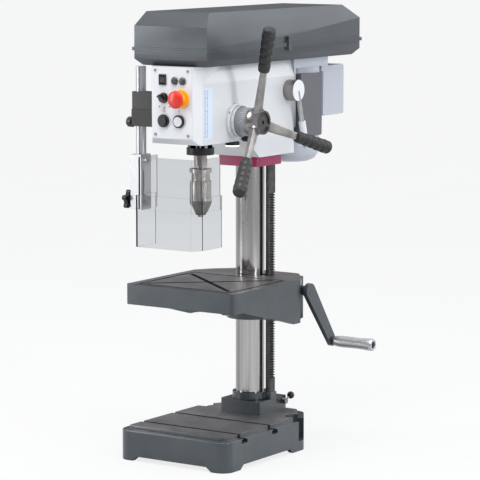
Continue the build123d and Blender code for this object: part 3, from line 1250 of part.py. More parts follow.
def make_guard_mount():
    """Upper half of the black clamp block, fixed to the head; the post turns in it."""
    body = block(BLOCK_LEFT, -HEAD_HALF_WIDTH, BLOCK_FRONT_Y, BLOCK_BACK_Y, BLOCK_SEAM, BLOCK_TOP)
    body = fillet(body.edges().filter_by(Axis.Z).group_by(Axis.X)[0], 4)
    return body - rod_z(POST_RADIUS + FIT, 0, FAR, POST_X, POST_Y)


def make_guard_clamp():
    """Lower half of the block: it is clamped to the post and turns with it."""
    body = block(BLOCK_LEFT, POST_X + 60, BLOCK_FRONT_Y, BLOCK_BACK_Y, BLOCK_BOTTOM, BLOCK_SEAM - GAP)
    body &= rod_z(CLAMP_SWING, 0, FAR, POST_X, POST_Y)
    body -= rod_z(POST_RADIUS, 0, FAR, POST_X, POST_Y)
    return body - rod_x(4 + FIT, BLOCK_LEFT - 5, POST_X - POST_RADIUS + 2, POST_Y, GUARD_KNOB_Z)


def make_guard_knob():
    x = max(BLOCK_LEFT, POST_X - CLAMP_SWING)
    body = rod_x(4, x - 4, POST_X - POST_RADIUS - GAP, POST_Y, GUARD_KNOB_Z)
    body += rod_x(6, x - 6, x - GAP, POST_Y, GUARD_KNOB_Z)
    knob = turned_x([(x - 21, 0), (x - 21, 10), (x - 18, 12.3), (x - 7, 12.3), (x - 4, 8), (x - 4, 0)],
                    POST_Y, GUARD_KNOB_Z)
    return body + knob


def make_guard_post():
    body = rod_z(POST_RADIUS, GUARD_BRACKET_BOTTOM + 4, POST_TOP, POST_X, POST_Y)
    return body - block(POST_X + 2, POST_X + 5, POST_Y - 20, POST_Y - POST_RADIUS + 3, 0, FAR)


def make_guard_bracket():
    """Folded channel on the post with the slot for the lower shield's knob."""
    x0, x1, t = GUARD_X0, GUARD_X1, GUARD_WALL
    y0, y1 = STAR_Y - 9, POST_Y + POST_RADIUS + 3
    body = block(x0, x1, y0, y1, GUARD_BRACKET_BOTTOM, BRACKET_TOP)
    body -= block(x0 + t, x1 - t, y0 + t, y1 + 1, GUARD_BRACKET_BOTTOM - 1, BRACKET_TOP - 8)
    body -= rod_z(POST_RADIUS, 0, FAR, POST_X, POST_Y)
    for z in (STAR_Z, STAR_Z + SHIELD_TRAVEL):
        body -= rod_x(STAR_ROD + GAP, x0 - 5, x1 + 5, STAR_Y, z)
    body -= block(x0 - 5, x1 + 5, STAR_Y - STAR_ROD - GAP, STAR_Y + STAR_ROD + GAP,
                  STAR_Z, STAR_Z + SHIELD_TRAVEL)
    for y in SCREWS_Y:
        body -= rod_x(SHIELD_SCREW, x1 - 10, x1 + 1, y, SCREW_Z)
    return body


def bent_sheet(points):
    """Plan of a sheet of SHEET thickness on the left of a chain of points, corners mitred."""
    normals = []
    for a, b in zip(points, points[1:]):
        d = Vector(b[0] - a[0], b[1] - a[1]).normalized()
        normals.append(Vector(-d.Y, d.X))
    inner = []
    for n, p in enumerate(points):
        before = normals[max(n - 1, 0)]
        after = normals[min(n, len(normals) - 1)]
        mitre = (before + after).normalized()
        far = SHEET / mitre.dot(after)
        inner.append((p[0] + mitre.X * far, p[1] + mitre.Y * far))
    return make_face(Polyline(*points, *reversed(inner), close=True))


def shield(points, z0, z1):
    return Pos(0, 0, z0) * extrude(bent_sheet(points), z1 - z0, dir=(0, 0, 1))


def lower_shield_points(d):
    """The lower shield's outer line, drawn in by d, from the left panel's rear edge round the front."""
    left, front = SHIELD_LEFT - SHEET + d, SHIELD_FRONT + d
    right, bend = SHIELD_RIGHT - d, SHIELD_RIGHT - 15 - d * 0.4
    return [(left, SHIELD_FRONT + 76), (left, front), (bend, front), (right, SHIELD_FRONT + 26 + d * 0.4),
            (right, SHIELD_FRONT + 104)]


def make_lower_shield():
    sheet = shield(lower_shield_points(0), SHIELD_LOW, SHIELD_HIGH)
    return sheet - rod_x(STAR_ROD + FIT, SHIELD_LEFT - 20, SHIELD_LEFT + 20, STAR_Y, STAR_Z)


def make_upper_shield():
    sheet = shield(lower_shield_points(SHEET + 1.5), UPPER_LOW, UPPER_HIGH)
    for y in SCREWS_Y:
        sheet -= rod_x(SHIELD_SCREW, SHIELD_LEFT - 20, SHIELD_LEFT + 30, y, SCREW_Z)
    return sheet


def make_shield_screws():
    """Two screws with spacers between the bracket and the upper shield."""
    inside = SHIELD_LEFT + 1.5
    parts = []
    for y in SCREWS_Y:
        part = rod_x(SHIELD_SCREW, GUARD_X1 - GUARD_WALL, inside + SHEET + 2, y, SCREW_Z)
        part += rod_x(5, inside + SHEET, inside + SHEET + 2.5, y, SCREW_Z)
        part += rod_x(4.5, GUARD_X1, inside, y, SCREW_Z)
        parts.append(part)
    return group(parts)


def make_star_knob():
    x = GUARD_X0 - GAP
    body = rod_x(8, x - 6, x, STAR_Y, STAR_Z) + rod_x(15, x - 16, x - 5, STAR_Y, STAR_Z)
    for n in range(5):
        a = radians(72 * n + 18)
        body += rod_x(6, x - 16, x - 5, STAR_Y + 17 * cos(a), STAR_Z + 17 * sin(a))
    return body + rod_x(STAR_ROD, x - 1, SHIELD_LEFT - GAP, STAR_Y, STAR_Z)


# ---------------------------------------------------------------- the assembly
def build():
    keep("base", make_base())
    keep("column_flange", make_column_flange())
    keep("fasteners", group([*make_flange_screws().solids(), *make_panel_screws().solids()]))
    keep("base_lock", group([make_base_lock(), make_base_lock_knob()]))
    keep("column", make_column())
    keep("rack_ring", make_rack_ring())
    keep("rack", make_rack())
    keep("head_collar", make_head_collar())
    keep("table", group([make_table(), make_gear_pin()]))
    keep("table_lock", group([make_table_lock(), make_table_lock_knob(), make_table_lock_nut()]))
    keep("table_gear", make_table_gear())
    keep("worm_shaft", make_worm_shaft())
    keep("crank_arm", group([make_crank_arm(), make_crank_pin()]))
    keep("crank_grip", make_crank_grip())
    keep("head_casting", make_head_casting())
    keep("control_panel", make_control_panel())
    keep("contact_block", make_contact_block())
    keep("switch_bezels", group([make_rocker_frame(), make_selector_ring(), *make_button_bezels().solids()]))
    keep("rocker", make_rocker())
    keep("pilot_lamps", make_pilot_lamps())
    keep("stop_button", make_stop_button())
    keep("start_button", make_start_button())
    keep("estop_base", make_estop_base())
    keep("estop_button", make_estop_button())
    keep("selector_knob", make_selector_knob())
    keep("quill_lock", make_quill_lock())
    keep("feed_flange", make_feed_flange())
    keep("feed_shaft", make_feed_shaft())
    keep("spring_case", group([make_spring_case(), *make_return_spring().solids()]))
    keep("feed_dial", group([make_depth_dial(), make_feed_drum()]))
    keep("feed_hub", group([make_feed_hub(), make_hub_screw()]))
    keep("feed_levers", group([make_lever(n) for n in range(3)]))
    keep("feed_grips", group([make_grip(n) for n in range(3)]))
    keep("quill", group([make_quill(), make_quill_collar()]))
    keep("quill_bearings", make_quill_bearings())
    keep("spindle", group([make_spindle(), make_chuck_arbor()]))
    keep("chuck_core", make_chuck_core())
    keep("chuck_sleeve", group([make_chuck_sleeve(), make_chuck_nose()]))
    for n in range(3):
        keep(f"chuck_jaw_{n + 1}", make_jaw(n))
    keep("spindle_pulley", make_spindle_pulley())
    keep("motor_pulley", make_motor_pulley())
    keep("belt", make_belt())
    keep("motor_housing", group([make_motor_housing(), make_motor_cap(), make_motor_stator()]))
    keep("motor_rotor", make_motor_rotor())
    keep("motor_bracket", make_motor_bracket())
    keep("terminal_box", make_terminal_box())
    keep("drive_box", group([make_drive_box(), make_drive_board(), make_cable_gland()]))
    keep("tension_lever", group([make_tension_lever(), make_tension_grip()]))
    keep("cover_tray", group([make_cover_tray(), *make_hinge_pins().solids()]))
    keep("cover_lid", make_cover_lid())
    keep("guard_mount", make_guard_mount())
    keep("guard_clamp", group([make_guard_clamp(), make_guard_knob()]))
    keep("guard_post", make_guard_post())
    keep("guard_bracket", group([make_guard_bracket(), *make_shield_screws().solids()]))
    keep("upper_shield", make_upper_shield())
    keep("lower_shield", make_lower_shield())
    keep("star_knob", make_star_knob())
    keep("work_lamp", make_work_lamp())


build()
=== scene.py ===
import bmesh
import bpy
import json
from math import pi, radians
from mathutils import Euler, Matrix, Vector

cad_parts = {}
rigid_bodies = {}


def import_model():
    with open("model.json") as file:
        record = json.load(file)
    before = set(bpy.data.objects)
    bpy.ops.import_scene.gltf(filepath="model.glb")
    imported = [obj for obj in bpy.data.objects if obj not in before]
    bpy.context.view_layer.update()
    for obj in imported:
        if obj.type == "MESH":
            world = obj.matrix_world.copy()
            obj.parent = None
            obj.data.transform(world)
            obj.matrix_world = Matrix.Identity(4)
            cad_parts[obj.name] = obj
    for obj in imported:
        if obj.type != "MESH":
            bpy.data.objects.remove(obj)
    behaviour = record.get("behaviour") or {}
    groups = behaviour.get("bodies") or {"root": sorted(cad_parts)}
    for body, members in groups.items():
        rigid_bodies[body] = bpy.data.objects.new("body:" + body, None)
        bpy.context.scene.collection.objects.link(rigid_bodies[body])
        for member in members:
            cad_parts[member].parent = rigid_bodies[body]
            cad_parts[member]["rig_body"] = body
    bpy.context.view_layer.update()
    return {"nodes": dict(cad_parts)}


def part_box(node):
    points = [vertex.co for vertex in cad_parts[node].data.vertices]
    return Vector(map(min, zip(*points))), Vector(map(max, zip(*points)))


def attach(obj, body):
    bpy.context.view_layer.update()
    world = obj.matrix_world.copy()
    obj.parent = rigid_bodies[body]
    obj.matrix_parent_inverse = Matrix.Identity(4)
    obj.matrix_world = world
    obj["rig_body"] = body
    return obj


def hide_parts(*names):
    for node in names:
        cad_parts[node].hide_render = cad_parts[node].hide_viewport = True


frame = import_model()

# ---------------------------------------------------------------- floor, light and camera
# A pale studio floor that runs out of sight, tall soft boxes left and right of the machine
# and a large one overhead, as for a catalogue picture of a machine.


def linear(hex_colour):
    """An sRGB hex colour as linear RGBA."""
    values = [int(hex_colour[i:i + 2], 16) / 255 for i in (0, 2, 4)]
    return [v / 12.92 if v <= 0.04045 else ((v + 0.055) / 1.055) ** 2.4 for v in values] + [1.0]


def add(tree, kind, links=(), **settings):
    """Adds a shader node; settings are its properties or, by socket name, its values."""
    node = tree.nodes.new(kind)
    for key, value in settings.items():
        if hasattr(node, key):
            setattr(node, key, value)
        else:
            node.inputs[key.replace("_", " ")].default_value = value
    for socket, source in dict(links).items():
        tree.links.new(source, node.inputs[socket])
    return node


def new_material(name, **shader):
    """A material with a Principled shader and the tree to build on."""
    material = bpy.data.materials.new(name)
    material.use_nodes = True
    tree = material.node_tree
    surface = tree.nodes["Principled BSDF"]
    for key, value in shader.items():
        surface.inputs[key.replace("_", " ")].default_value = value
    place = add(tree, "ShaderNodeTexCoord")
    return material, tree, surface, place.outputs["Object"]


def link(obj):
    bpy.context.scene.collection.objects.link(obj)
    return obj


floor_bm = bmesh.new()
bmesh.ops.create_grid(floor_bm, x_segments=1, y_segments=1, size=120.0)
floor_mesh = bpy.data.meshes.new("floor")
floor_bm.to_mesh(floor_mesh)
floor_bm.free()
floor = link(bpy.data.objects.new("floor", floor_mesh))
# matt painted studio floor: nearly white, with no gloss of its own
floor_paint, tree, surface, at = new_material("matt_studio_floor", Roughness=0.9, Specular_IOR_Level=0.1)
dust = add(tree, "ShaderNodeTexNoise", {"Vector": at}, Scale=2.0, Detail=3.0)
tone = add(tree, "ShaderNodeValToRGB", {"Fac": dust.outputs["Fac"]})
tone.color_ramp.elements[0].color = linear("B9BBBD")
tone.color_ramp.elements[1].color = linear("C1C3C5")
tree.links.new(tone.outputs["Color"], surface.inputs["Base Color"])
# seen straight on, the floor glows as a lit paper sweep does; in reflections it stays mid grey
seen = add(tree, "ShaderNodeLightPath")
share = add(tree, "ShaderNodeMath", {0: seen.outputs["Is Camera Ray"]}, operation="MULTIPLY")
share.inputs[1].default_value = 0.8
glow = add(tree, "ShaderNodeEmission", Color=linear("FFFFFF"), Strength=1.0)
sweep = add(tree, "ShaderNodeMixShader", {0: share.outputs["Value"], 1: surface.outputs["BSDF"],
                                          2: glow.outputs["Emission"]})
tree.links.new(sweep.outputs["Shader"], tree.nodes["Material Output"].inputs["Surface"])
floor_mesh.materials.append(floor_paint)

world = bpy.data.worlds.new("studio")
bpy.context.scene.world = world
world.use_nodes = True
# the room: dim towards the operator, bright behind on the right and far left, white where it is seen directly
tree = world.node_tree
place = add(tree, "ShaderNodeTexCoord")
power = None
for way, low, high, level in (
        ((0.55, 0.82, 0.1), 0.72, 0.97, 2.1),
        ((-0.95, 0.2, 0.1), 0.8, 0.98, 1.1),
        ((0.0, 0.0, 1.0), 0.15, 0.85, 1.25)):
    facing = add(tree, "ShaderNodeVectorMath", {0: place.outputs["Generated"]}, operation="DOT_PRODUCT")
    facing.inputs[1].default_value = way
    patch = add(tree, "ShaderNodeMapRange", {"Value": facing.outputs["Value"]},
                interpolation_type="SMOOTHSTEP", From_Min=low, From_Max=high, To_Max=level)
    if power:
        patch = add(tree, "ShaderNodeMath", {0: power.outputs[0], 1: patch.outputs["Result"]},
                    operation="ADD")
    power = patch
ground = add(tree, "ShaderNodeMath", {0: power.outputs[0]}, operation="ADD")
ground.inputs[1].default_value = 0.06
seen = add(tree, "ShaderNodeLightPath")
level = add(tree, "ShaderNodeMix",
            {"Factor": seen.outputs["Is Camera Ray"], "A": ground.outputs["Value"]}, B=1.0)
tree.links.new(level.outputs["Result"], tree.nodes["Background"].inputs["Strength"])
tree.nodes["Background"].inputs["Color"].default_value = linear("FCFDFF")
bpy.context.scene.view_settings.view_transform = "Standard"

for name, place, aim, size, watts in (
        ("soft_box_left", (-2.6, -2.6, 1.5), (0, -0.1, 0.6), (0.6, 2.6), 60),
        ("soft_box_right", (3.2, -0.6, 1.7), (0, 0, 0.7), (0.5, 2.6), 50),
        ("soft_box_top", (0.4, -1.2, 3.4), (0, 0, 0.6), (1.4, 1.4), 60)):
    lamp = bpy.data.lights.new(name, "AREA")
    lamp.shape = "RECTANGLE"
    lamp.size, lamp.size_y = size
    lamp.energy = watts
    box = link(bpy.data.objects.new(name, lamp))
    box.location = place
    box.rotation_euler = (Vector(aim) - Vector(place)).to_track_quat("-Z", "Y").to_euler()
sun = bpy.data.lights.new("sky_fill", "SUN")
sun.energy = 0.3
sun.angle = radians(50)
sky = link(bpy.data.objects.new("sky_fill", sun))
sky.rotation_euler = Euler((radians(28), radians(18), 0))

view = bpy.data.cameras.new("catalogue_view")
view.lens = 191.25
view.sensor_width = 36.0
view.clip_end = 400
camera = link(bpy.data.objects.new("catalogue_view", view))
camera.location = (3.4041, -5.0905, 1.3049)
camera.rotation_euler = Vector((-0.5544, 0.8219, -0.1305)).to_track_quat("-Z", "Y").to_euler()
bpy.context.scene.camera = camera


# ---------------------------------------------------------------- base
# A grey-iron casting on four feet. Its sides carry thick anthracite paint over the rough cast skin;
# the deck with the two T-slots is planed bare.
def finish_piece(bm, name, body, materials, nodes=(), slot=None, bevel=0.0, segments=2, smooth=32):
    """Turns a bmesh into a piece: materials, softened edges, smooth shading, and its body."""
    mesh = bpy.data.meshes.new(name)
    bm.to_mesh(mesh)
    bm.free()
    for material in materials:
        mesh.materials.append(material)
    for face in mesh.polygons:
        face.use_smooth = True
    mesh.set_sharp_from_angle(angle=radians(smooth))
    piece = link(bpy.data.objects.new(name, mesh))
    if bevel:
        soft = piece.modifiers.new("soft_edges", "BEVEL")
        soft.width = bevel
        soft.segments = segments
        soft.limit_method = "ANGLE"
        soft.angle_limit = radians(smooth)
        soft.harden_normals = True
        soft.use_clamp_overlap = True
    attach(piece, body)
    if nodes:
        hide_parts(*nodes)
    return piece


def machined_copy(node):
    """A copy of a CAD piece's surface as clean, joined faces."""
    bm = bmesh.new()
    bm.from_mesh(frame["nodes"][node].data)
    bmesh.ops.remove_doubles(bm, verts=bm.verts, dist=1e-6)
    bmesh.ops.dissolve_limit(bm, angle_limit=radians(0.6), verts=bm.verts, edges=bm.edges,
                             delimit={"MATERIAL"})
    return bm


def body_of(node):
    return frame["nodes"][node]["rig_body"]


def refinish(node, name, materials, slot, *edges):
    """Replaces one CAD piece by a copy of itself with real materials and softened edges."""
    return finish_piece(machined_copy(node), name, body_of(node), materials, [node], slot, *edges)


def second_material(bm, test):
    """Gives the faces that pass the test the piece's second material."""
    for face in bm.faces:
        if test(face.calc_center_median(), face.normal):
            face.material_index = 1


def bumped(tree, surface, height, strength, distance):
    bump = add(tree, "ShaderNodeBump", {"Height": height}, Strength=strength, Distance=distance)
    tree.links.new(bump.outputs["Normal"], surface.inputs["Normal"])


# anthracite machine paint on cast iron: a soft gloss over 2 mm orange peel, with paler rubbed patches
anthracite_paint, tree, surface, at = new_material(
    "anthracite_machine_paint", Metallic=0.3, Coat_Weight=0.6, Coat_Roughness=0.16)
cloud = add(tree, "ShaderNodeTexNoise", {"Vector": at}, Scale=9.0, Detail=5.0, Roughness=0.6)
tone = add(tree, "ShaderNodeValToRGB", {"Fac": cloud.outputs["Fac"]})
tone.color_ramp.elements[0].position = 0.3
tone.color_ramp.elements[0].color = linear("30363A")
tone.color_ramp.elements[1].position = 0.72
tone.color_ramp.elements[1].color = linear("40464B")
tree.links.new(tone.outputs["Color"], surface.inputs["Base Color"])
gloss = add(tree, "ShaderNodeMapRange", {"Value": cloud.outputs["Fac"]}, To_Min=0.28, To_Max=0.44)
tree.links.new(gloss.outputs["Result"], surface.inputs["Roughness"])
peel = add(tree, "ShaderNodeTexNoise", {"Vector": at}, Scale=420.0, Detail=2.0)
bumped(tree, surface, peel.outputs["Fac"], 0.25, 0.0006)

# planed grey iron: fine cutter marks along X about 0.8 mm apart, with a thin film of oil
planed_iron, tree, surface, at = new_material("planed_grey_iron", Metallic=1.0)
lay = add(tree, "ShaderNodeMapping", {"Vector": at}, Scale=(6.0, 900.0, 60.0))
marks = add(tree, "ShaderNodeTexNoise", {"Vector": lay.outputs["Vector"]}, Scale=1.0, Detail=3.0)
stain = add(tree, "ShaderNodeTexNoise", {"Vector": at}, Scale=14.0, Detail=6.0, Roughness=0.65)
tone = add(tree, "ShaderNodeValToRGB", {"Fac": stain.outputs["Fac"]})
tone.color_ramp.elements[0].position = 0.3
tone.color_ramp.elements[0].color = linear("757375")
tone.color_ramp.elements[1].position = 0.75
tone.color_ramp.elements[1].color = linear("A19EA0")
tree.links.new(tone.outputs["Color"], surface.inputs["Base Color"])
gloss = add(tree, "ShaderNodeMapRange", {"Value": marks.outputs["Fac"]}, To_Min=0.34, To_Max=0.5)
tree.links.new(gloss.outputs["Result"], surface.inputs["Roughness"])
bumped(tree, surface, marks.outputs["Fac"], 0.2, 0.0002)

deck_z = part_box("base")[1].z
rim_z = deck_z - 0.008        # the deck stands this far above the rim
behind_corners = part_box("base")[0].y + 0.052
bm = machined_copy("base")
second_material(bm, lambda p, n: n.z > 0.9 and p.z > deck_z - 0.0005)


def on_shoulder(edge):
    """True on the rim's outer edge along the front and round the two front corners."""
    if len(edge.link_faces) != 2 or edge.calc_face_angle(0) <= 1.2 or not edge.is_convex:
        return False
    slopes = [face.normal.z for face in edge.link_faces]
    level = all(abs(v.co.z - rim_z) < 0.0002 and v.co.y < behind_corners for v in edge.verts)
    return level and min(abs(z) for z in slopes) < 0.1 and max(slopes) > 0.9


shoulder = [edge for edge in bm.edges if on_shoulder(edge)]
bmesh.ops.bevel(bm, geom=shoulder, offset=0.006, segments=4, profile=0.5, affect="EDGES", material=-1,
                clamp_overlap=True)
finish_piece(bm, "base_casting", "stand", [anthracite_paint, planed_iron], ["base"], "anthracite", 0.0025, 3)

# ---------------------------------------------------------------- column, flange and rack
# The column is a ground steel tube in a cast flange block. The rack beside it is milled from dark steel
# and stands in a cast ring that turns round the column with the table.
for node, soft in (("column_flange", 0.0015), ("rack_ring", 0.001)):
    refinish(node, node + "_casting", [anthracite_paint], "anthracite", soft)

# ground and polished tube: the grinding runs round the tube, 0.3 mm apart, over faint long streaks
ground_tube, tree, surface, at = new_material("ground_steel_tube", Metallic=1.0, Anisotropic=0.5)
lay = add(tree, "ShaderNodeMapping", {"Vector": at}, Scale=(20.0, 20.0, 1500.0))
rings = add(tree, "ShaderNodeTexNoise", {"Vector": lay.outputs["Vector"]}, Scale=1.0, Detail=3.0)
lay = add(tree, "ShaderNodeMapping", {"Vector": at}, Scale=(60.0, 60.0, 2.0))
streaks = add(tree, "ShaderNodeTexNoise", {"Vector": lay.outputs["Vector"]}, Scale=1.0, Detail=4.0)
tone = add(tree, "ShaderNodeValToRGB", {"Fac": streaks.outputs["Fac"]})
tone.color_ramp.elements[0].position = 0.25
tone.color_ramp.elements[0].color = linear("7F7B79")
tone.color_ramp.elements[1].position = 0.8
tone.color_ramp.elements[1].color = linear("C9C6C3")
tree.links.new(tone.outputs["Color"], surface.inputs["Base Color"])
gloss = add(tree, "ShaderNodeMapRange", {"Value": rings.outputs["Fac"]}, To_Min=0.07, To_Max=0.15)
tree.links.new(gloss.outputs["Result"], surface.inputs["Roughness"])
bumped(tree, surface, rings.outputs["Fac"], 0.06, 0.0001)

low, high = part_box("column")
bm = bmesh.new()
bmesh.ops.create_circle(bm, segments=144, radius=(high.x - low.x) / 2)
bmesh.ops.translate(bm, verts=bm.verts, vec=(0, 0, low.z))
wall = bmesh.ops.extrude_edge_only(bm, edges=bm.edges)
top_ring = [v for v in wall["geom"] if isinstance(v, bmesh.types.BMVert)]
bmesh.ops.translate(bm, verts=top_ring, vec=(0, 0, high.z - low.z))
tube_wall = 0.006
bmesh.ops.solidify(bm, geom=bm.faces, thickness=tube_wall)
bmesh.ops.recalc_face_normals(bm, faces=bm.faces)
finish_piece(bm, "column_tube", "stand", [ground_tube], ["column"], "ground_steel")

# milled and blackened steel with a little oil; bright only where the teeth rub
dark_steel, tree, surface, at = new_material("oiled_dark_steel", Metallic=1.0)
cloud = add(tree, "ShaderNodeTexNoise", {"Vector": at}, Scale=70.0, Detail=5.0)
tone = add(tree, "ShaderNodeValToRGB", {"Fac": cloud.outputs["Fac"]})
tone.color_ramp.elements[0].color = linear("2C2B2B")
tone.color_ramp.elements[1].color = linear("6A6765")
tree.links.new(tone.outputs["Color"], surface.inputs["Base Color"])
gloss = add(tree, "ShaderNodeMapRange", {"Value": cloud.outputs["Fac"]}, To_Min=0.3, To_Max=0.5)
tree.links.new(gloss.outputs["Result"], surface.inputs["Roughness"])
bumped(tree, surface, cloud.outputs["Fac"], 0.15, 0.0003)


def wear(node, *materials):
    """Gives a CAD piece these materials."""
    slots = frame["nodes"][node].data.materials
    slots.clear()
    for material in materials:
        slots.append(material)


wear("rack", dark_steel)

# black moulded phenolic: deep black with a soft sheen and very fine pimples
black_plastic, tree, surface, at = new_material("black_moulded_plastic", Base_Color=linear("0E0E0F"),
                                                Specular_IOR_Level=0.5)
grain = add(tree, "ShaderNodeTexNoise", {"Vector": at}, Scale=1400.0, Detail=2.0)
gloss = add(tree, "ShaderNodeMapRange", {"Value": grain.outputs["Fac"]}, To_Min=0.3, To_Max=0.48)
tree.links.new(gloss.outputs["Result"], surface.inputs["Roughness"])
bumped(tree, surface, grain.outputs["Fac"], 0.12, 0.0002)

# turned and satin-polished bar steel: bright, with fine lathe lines about 0.4 mm apart
satin_steel, tree, surface, at = new_material("satin_turned_steel", Metallic=1.0)
lines = add(tree, "ShaderNodeTexNoise", {"Vector": at}, Scale=260.0, Detail=4.0)
cloud = add(tree, "ShaderNodeTexNoise", {"Vector": at}, Scale=30.0, Detail=4.0)
tone = add(tree, "ShaderNodeValToRGB", {"Fac": cloud.outputs["Fac"]})
tone.color_ramp.elements[0].position = 0.3
tone.color_ramp.elements[0].color = linear("7C7977")
tone.color_ramp.elements[1].position = 0.7
tone.color_ramp.elements[1].color = linear("ADA9A6")
tree.links.new(tone.outputs["Color"], surface.inputs["Base Color"])
gloss = add(tree, "ShaderNodeMapRange", {"Value": lines.outputs["Fac"]}, To_Min=0.24, To_Max=0.42)
tree.links.new(gloss.outputs["Result"], surface.inputs["Roughness"])
bumped(tree, surface, lines.outputs["Fac"], 0.08, 0.0001)

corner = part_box("base_lock")[1]
ball_radius = 0.009
ball = corner - Vector((ball_radius, ball_radius, ball_radius))
bm = machined_copy("base_lock")
second_material(bm, lambda p, n: (p - ball).length < ball_radius + 0.0004)
finish_piece(bm, "column_clamp_lever", "base_clamp", [satin_steel, black_plastic], ["base_lock"],
             "ground_steel", 0.0004)

# gloss magenta enamel on the machined ring block under the head
magenta, tree, surface, at = new_material("magenta_enamel", Base_Color=linear("8E0048"), Roughness=0.36,
                                          Coat_Weight=0.3, Coat_Roughness=0.2)
peel = add(tree, "ShaderNodeTexNoise", {"Vector": at}, Scale=350.0, Detail=1.0)
bumped(tree, surface, peel.outputs["Fac"], 0.1, 0.0003)
refinish("head_collar", "head_ring_block", [magenta], "collar_paint", 0.0014)

# ---------------------------------------------------------------- table, gear and crank
# A cast table with its bracket in one piece, painted as the base is; its face is planed and has a drip
# groove and two crossing slots. A crank turns the worm that drives the rack gear.
face_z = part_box("table")[1].z
bm = machined_copy("table")
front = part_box("table")[0].y
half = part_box("table")[1].x


def on_planed_face(p, n):
    """The planed part of the table's top, inside the drip groove."""
    return (n.z > 0.9 and p.z > face_z - 0.0008
            and abs(p.x) < half - 0.027 and front + 0.024 < p.y < -0.05)


second_material(bm, on_planed_face)
finish_piece(bm, "table_casting", "table_carrier", [anthracite_paint, planed_iron], ["table"],
             "anthracite", 0.0016, 3)
wear("table_gear", dark_steel)
wear("worm_shaft", dark_steel)
bm = machined_copy("table_lock")
low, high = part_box("table_lock")
knob_radius = 0.011
knob = Vector((low.x + knob_radius, high.y - knob_radius, high.z - knob_radius))
second_material(bm, lambda p, n: (p - knob).length < knob_radius + 0.0004)
finish_piece(bm, "table_clamp_lever", "table_clamp", [satin_steel, black_plastic], ["table_lock"],
             "ground_steel", 0.0005)
refinish("crank_arm", "crank_arm_casting", [anthracite_paint], "anthracite", 0.0014, 3)

# die-cast aluminium, vibro-finished: pale with a fine frosted grain
frosted_aluminium, tree, surface, at = new_material("frosted_cast_aluminium", Metallic=1.0)
grain = add(tree, "ShaderNodeTexNoise", {"Vector": at}, Scale=900.0, Detail=3.0)
tone = add(tree, "ShaderNodeValToRGB", {"Fac": grain.outputs["Fac"]})
tone.color_ramp.elements[0].color = linear("A9ABAD")
tone.color_ramp.elements[1].color = linear("D2D4D6")
tree.links.new(tone.outputs["Color"], surface.inputs["Base Color"])
gloss = add(tree, "ShaderNodeMapRange", {"Value": grain.outputs["Fac"]}, To_Min=0.3, To_Max=0.5)
tree.links.new(gloss.outputs["Result"], surface.inputs["Roughness"])
bumped(tree, surface, grain.outputs["Fac"], 0.1, 0.0002)
refinish("crank_grip", "crank_grip_sleeve", [frosted_aluminium], "alu", 0.001)

# ---------------------------------------------------------------- head
# The head is a large iron casting filled smooth and sprayed off-white. It holds the quill, the feed
# shaft and the switches behind the printed panel at its front.
head_paint, tree, surface, at = new_material("off_white_machine_paint", Coat_Weight=0.3, Coat_Roughness=0.15)
cloud = add(tree, "ShaderNodeTexNoise", {"Vector": at}, Scale=7.0, Detail=4.0)
tone = add(tree, "ShaderNodeValToRGB", {"Fac": cloud.outputs["Fac"]})
tone.color_ramp.elements[0].color = linear("C3C6CA")
tone.color_ramp.elements[1].color = linear("D2D4D7")
tree.links.new(tone.outputs["Color"], surface.inputs["Base Color"])
gloss = add(tree, "ShaderNodeMapRange", {"Value": cloud.outputs["Fac"]}, To_Min=0.28, To_Max=0.4)
tree.links.new(gloss.outputs["Result"], surface.inputs["Roughness"])
peel = add(tree, "ShaderNodeTexNoise", {"Vector": at}, Scale=380.0, Detail=2.0)
bumped(tree, surface, peel.outputs["Fac"], 0.14, 0.0004)
refinish("head_casting", "head_shell", [head_paint], "head_paint", 0.003, 3)

panel_film, tree, surface, at = new_material("printed_panel_film", Roughness=0.38)
cloud = add(tree, "ShaderNodeTexNoise", {"Vector": at}, Scale=1200.0, Detail=1.0)
tone = add(tree, "ShaderNodeValToRGB", {"Fac": cloud.outputs["Fac"]})
tone.color_ramp.elements[0].color = linear("C9CACF")
tone.color_ramp.elements[1].color = linear("D6D7DB")
tree.links.new(tone.outputs["Color"], surface.inputs["Base Color"])
bumped(tree, surface, cloud.outputs["Fac"], 0.05, 0.0001)
refinish("control_panel", "front_panel", [panel_film], "panel_film", 0.0006)
wear("fasteners", satin_steel)


def bar(bm, low, high):
    """A closed box between two corners."""
    made = bmesh.ops.create_cube(bm, size=1.0)["verts"]
    middle = (Vector(low) + Vector(high)) / 2
    size = Vector(high) - Vector(low)
    bmesh.ops.transform(bm, matrix=Matrix.Translation(middle) @ Matrix.Diagonal((*size, 1)), verts=made)
    return made


# marks silk-printed in dark ink, slightly uneven and a little glossy; the painted shade on the sheet edges is
# made the same way
def ink_and_edge_shade(name, dark, light):
    material, tree, surface, at = new_material(name, Roughness=0.45)
    cloud = add(tree, "ShaderNodeTexNoise", {"Vector": at}, Scale=700.0, Detail=2.0)
    tone = add(tree, "ShaderNodeValToRGB", {"Fac": cloud.outputs["Fac"]})
    tone.color_ramp.elements[0].color = linear(dark)
    tone.color_ramp.elements[1].color = linear(light)
    tree.links.new(tone.outputs["Color"], surface.inputs["Base Color"])
    return material


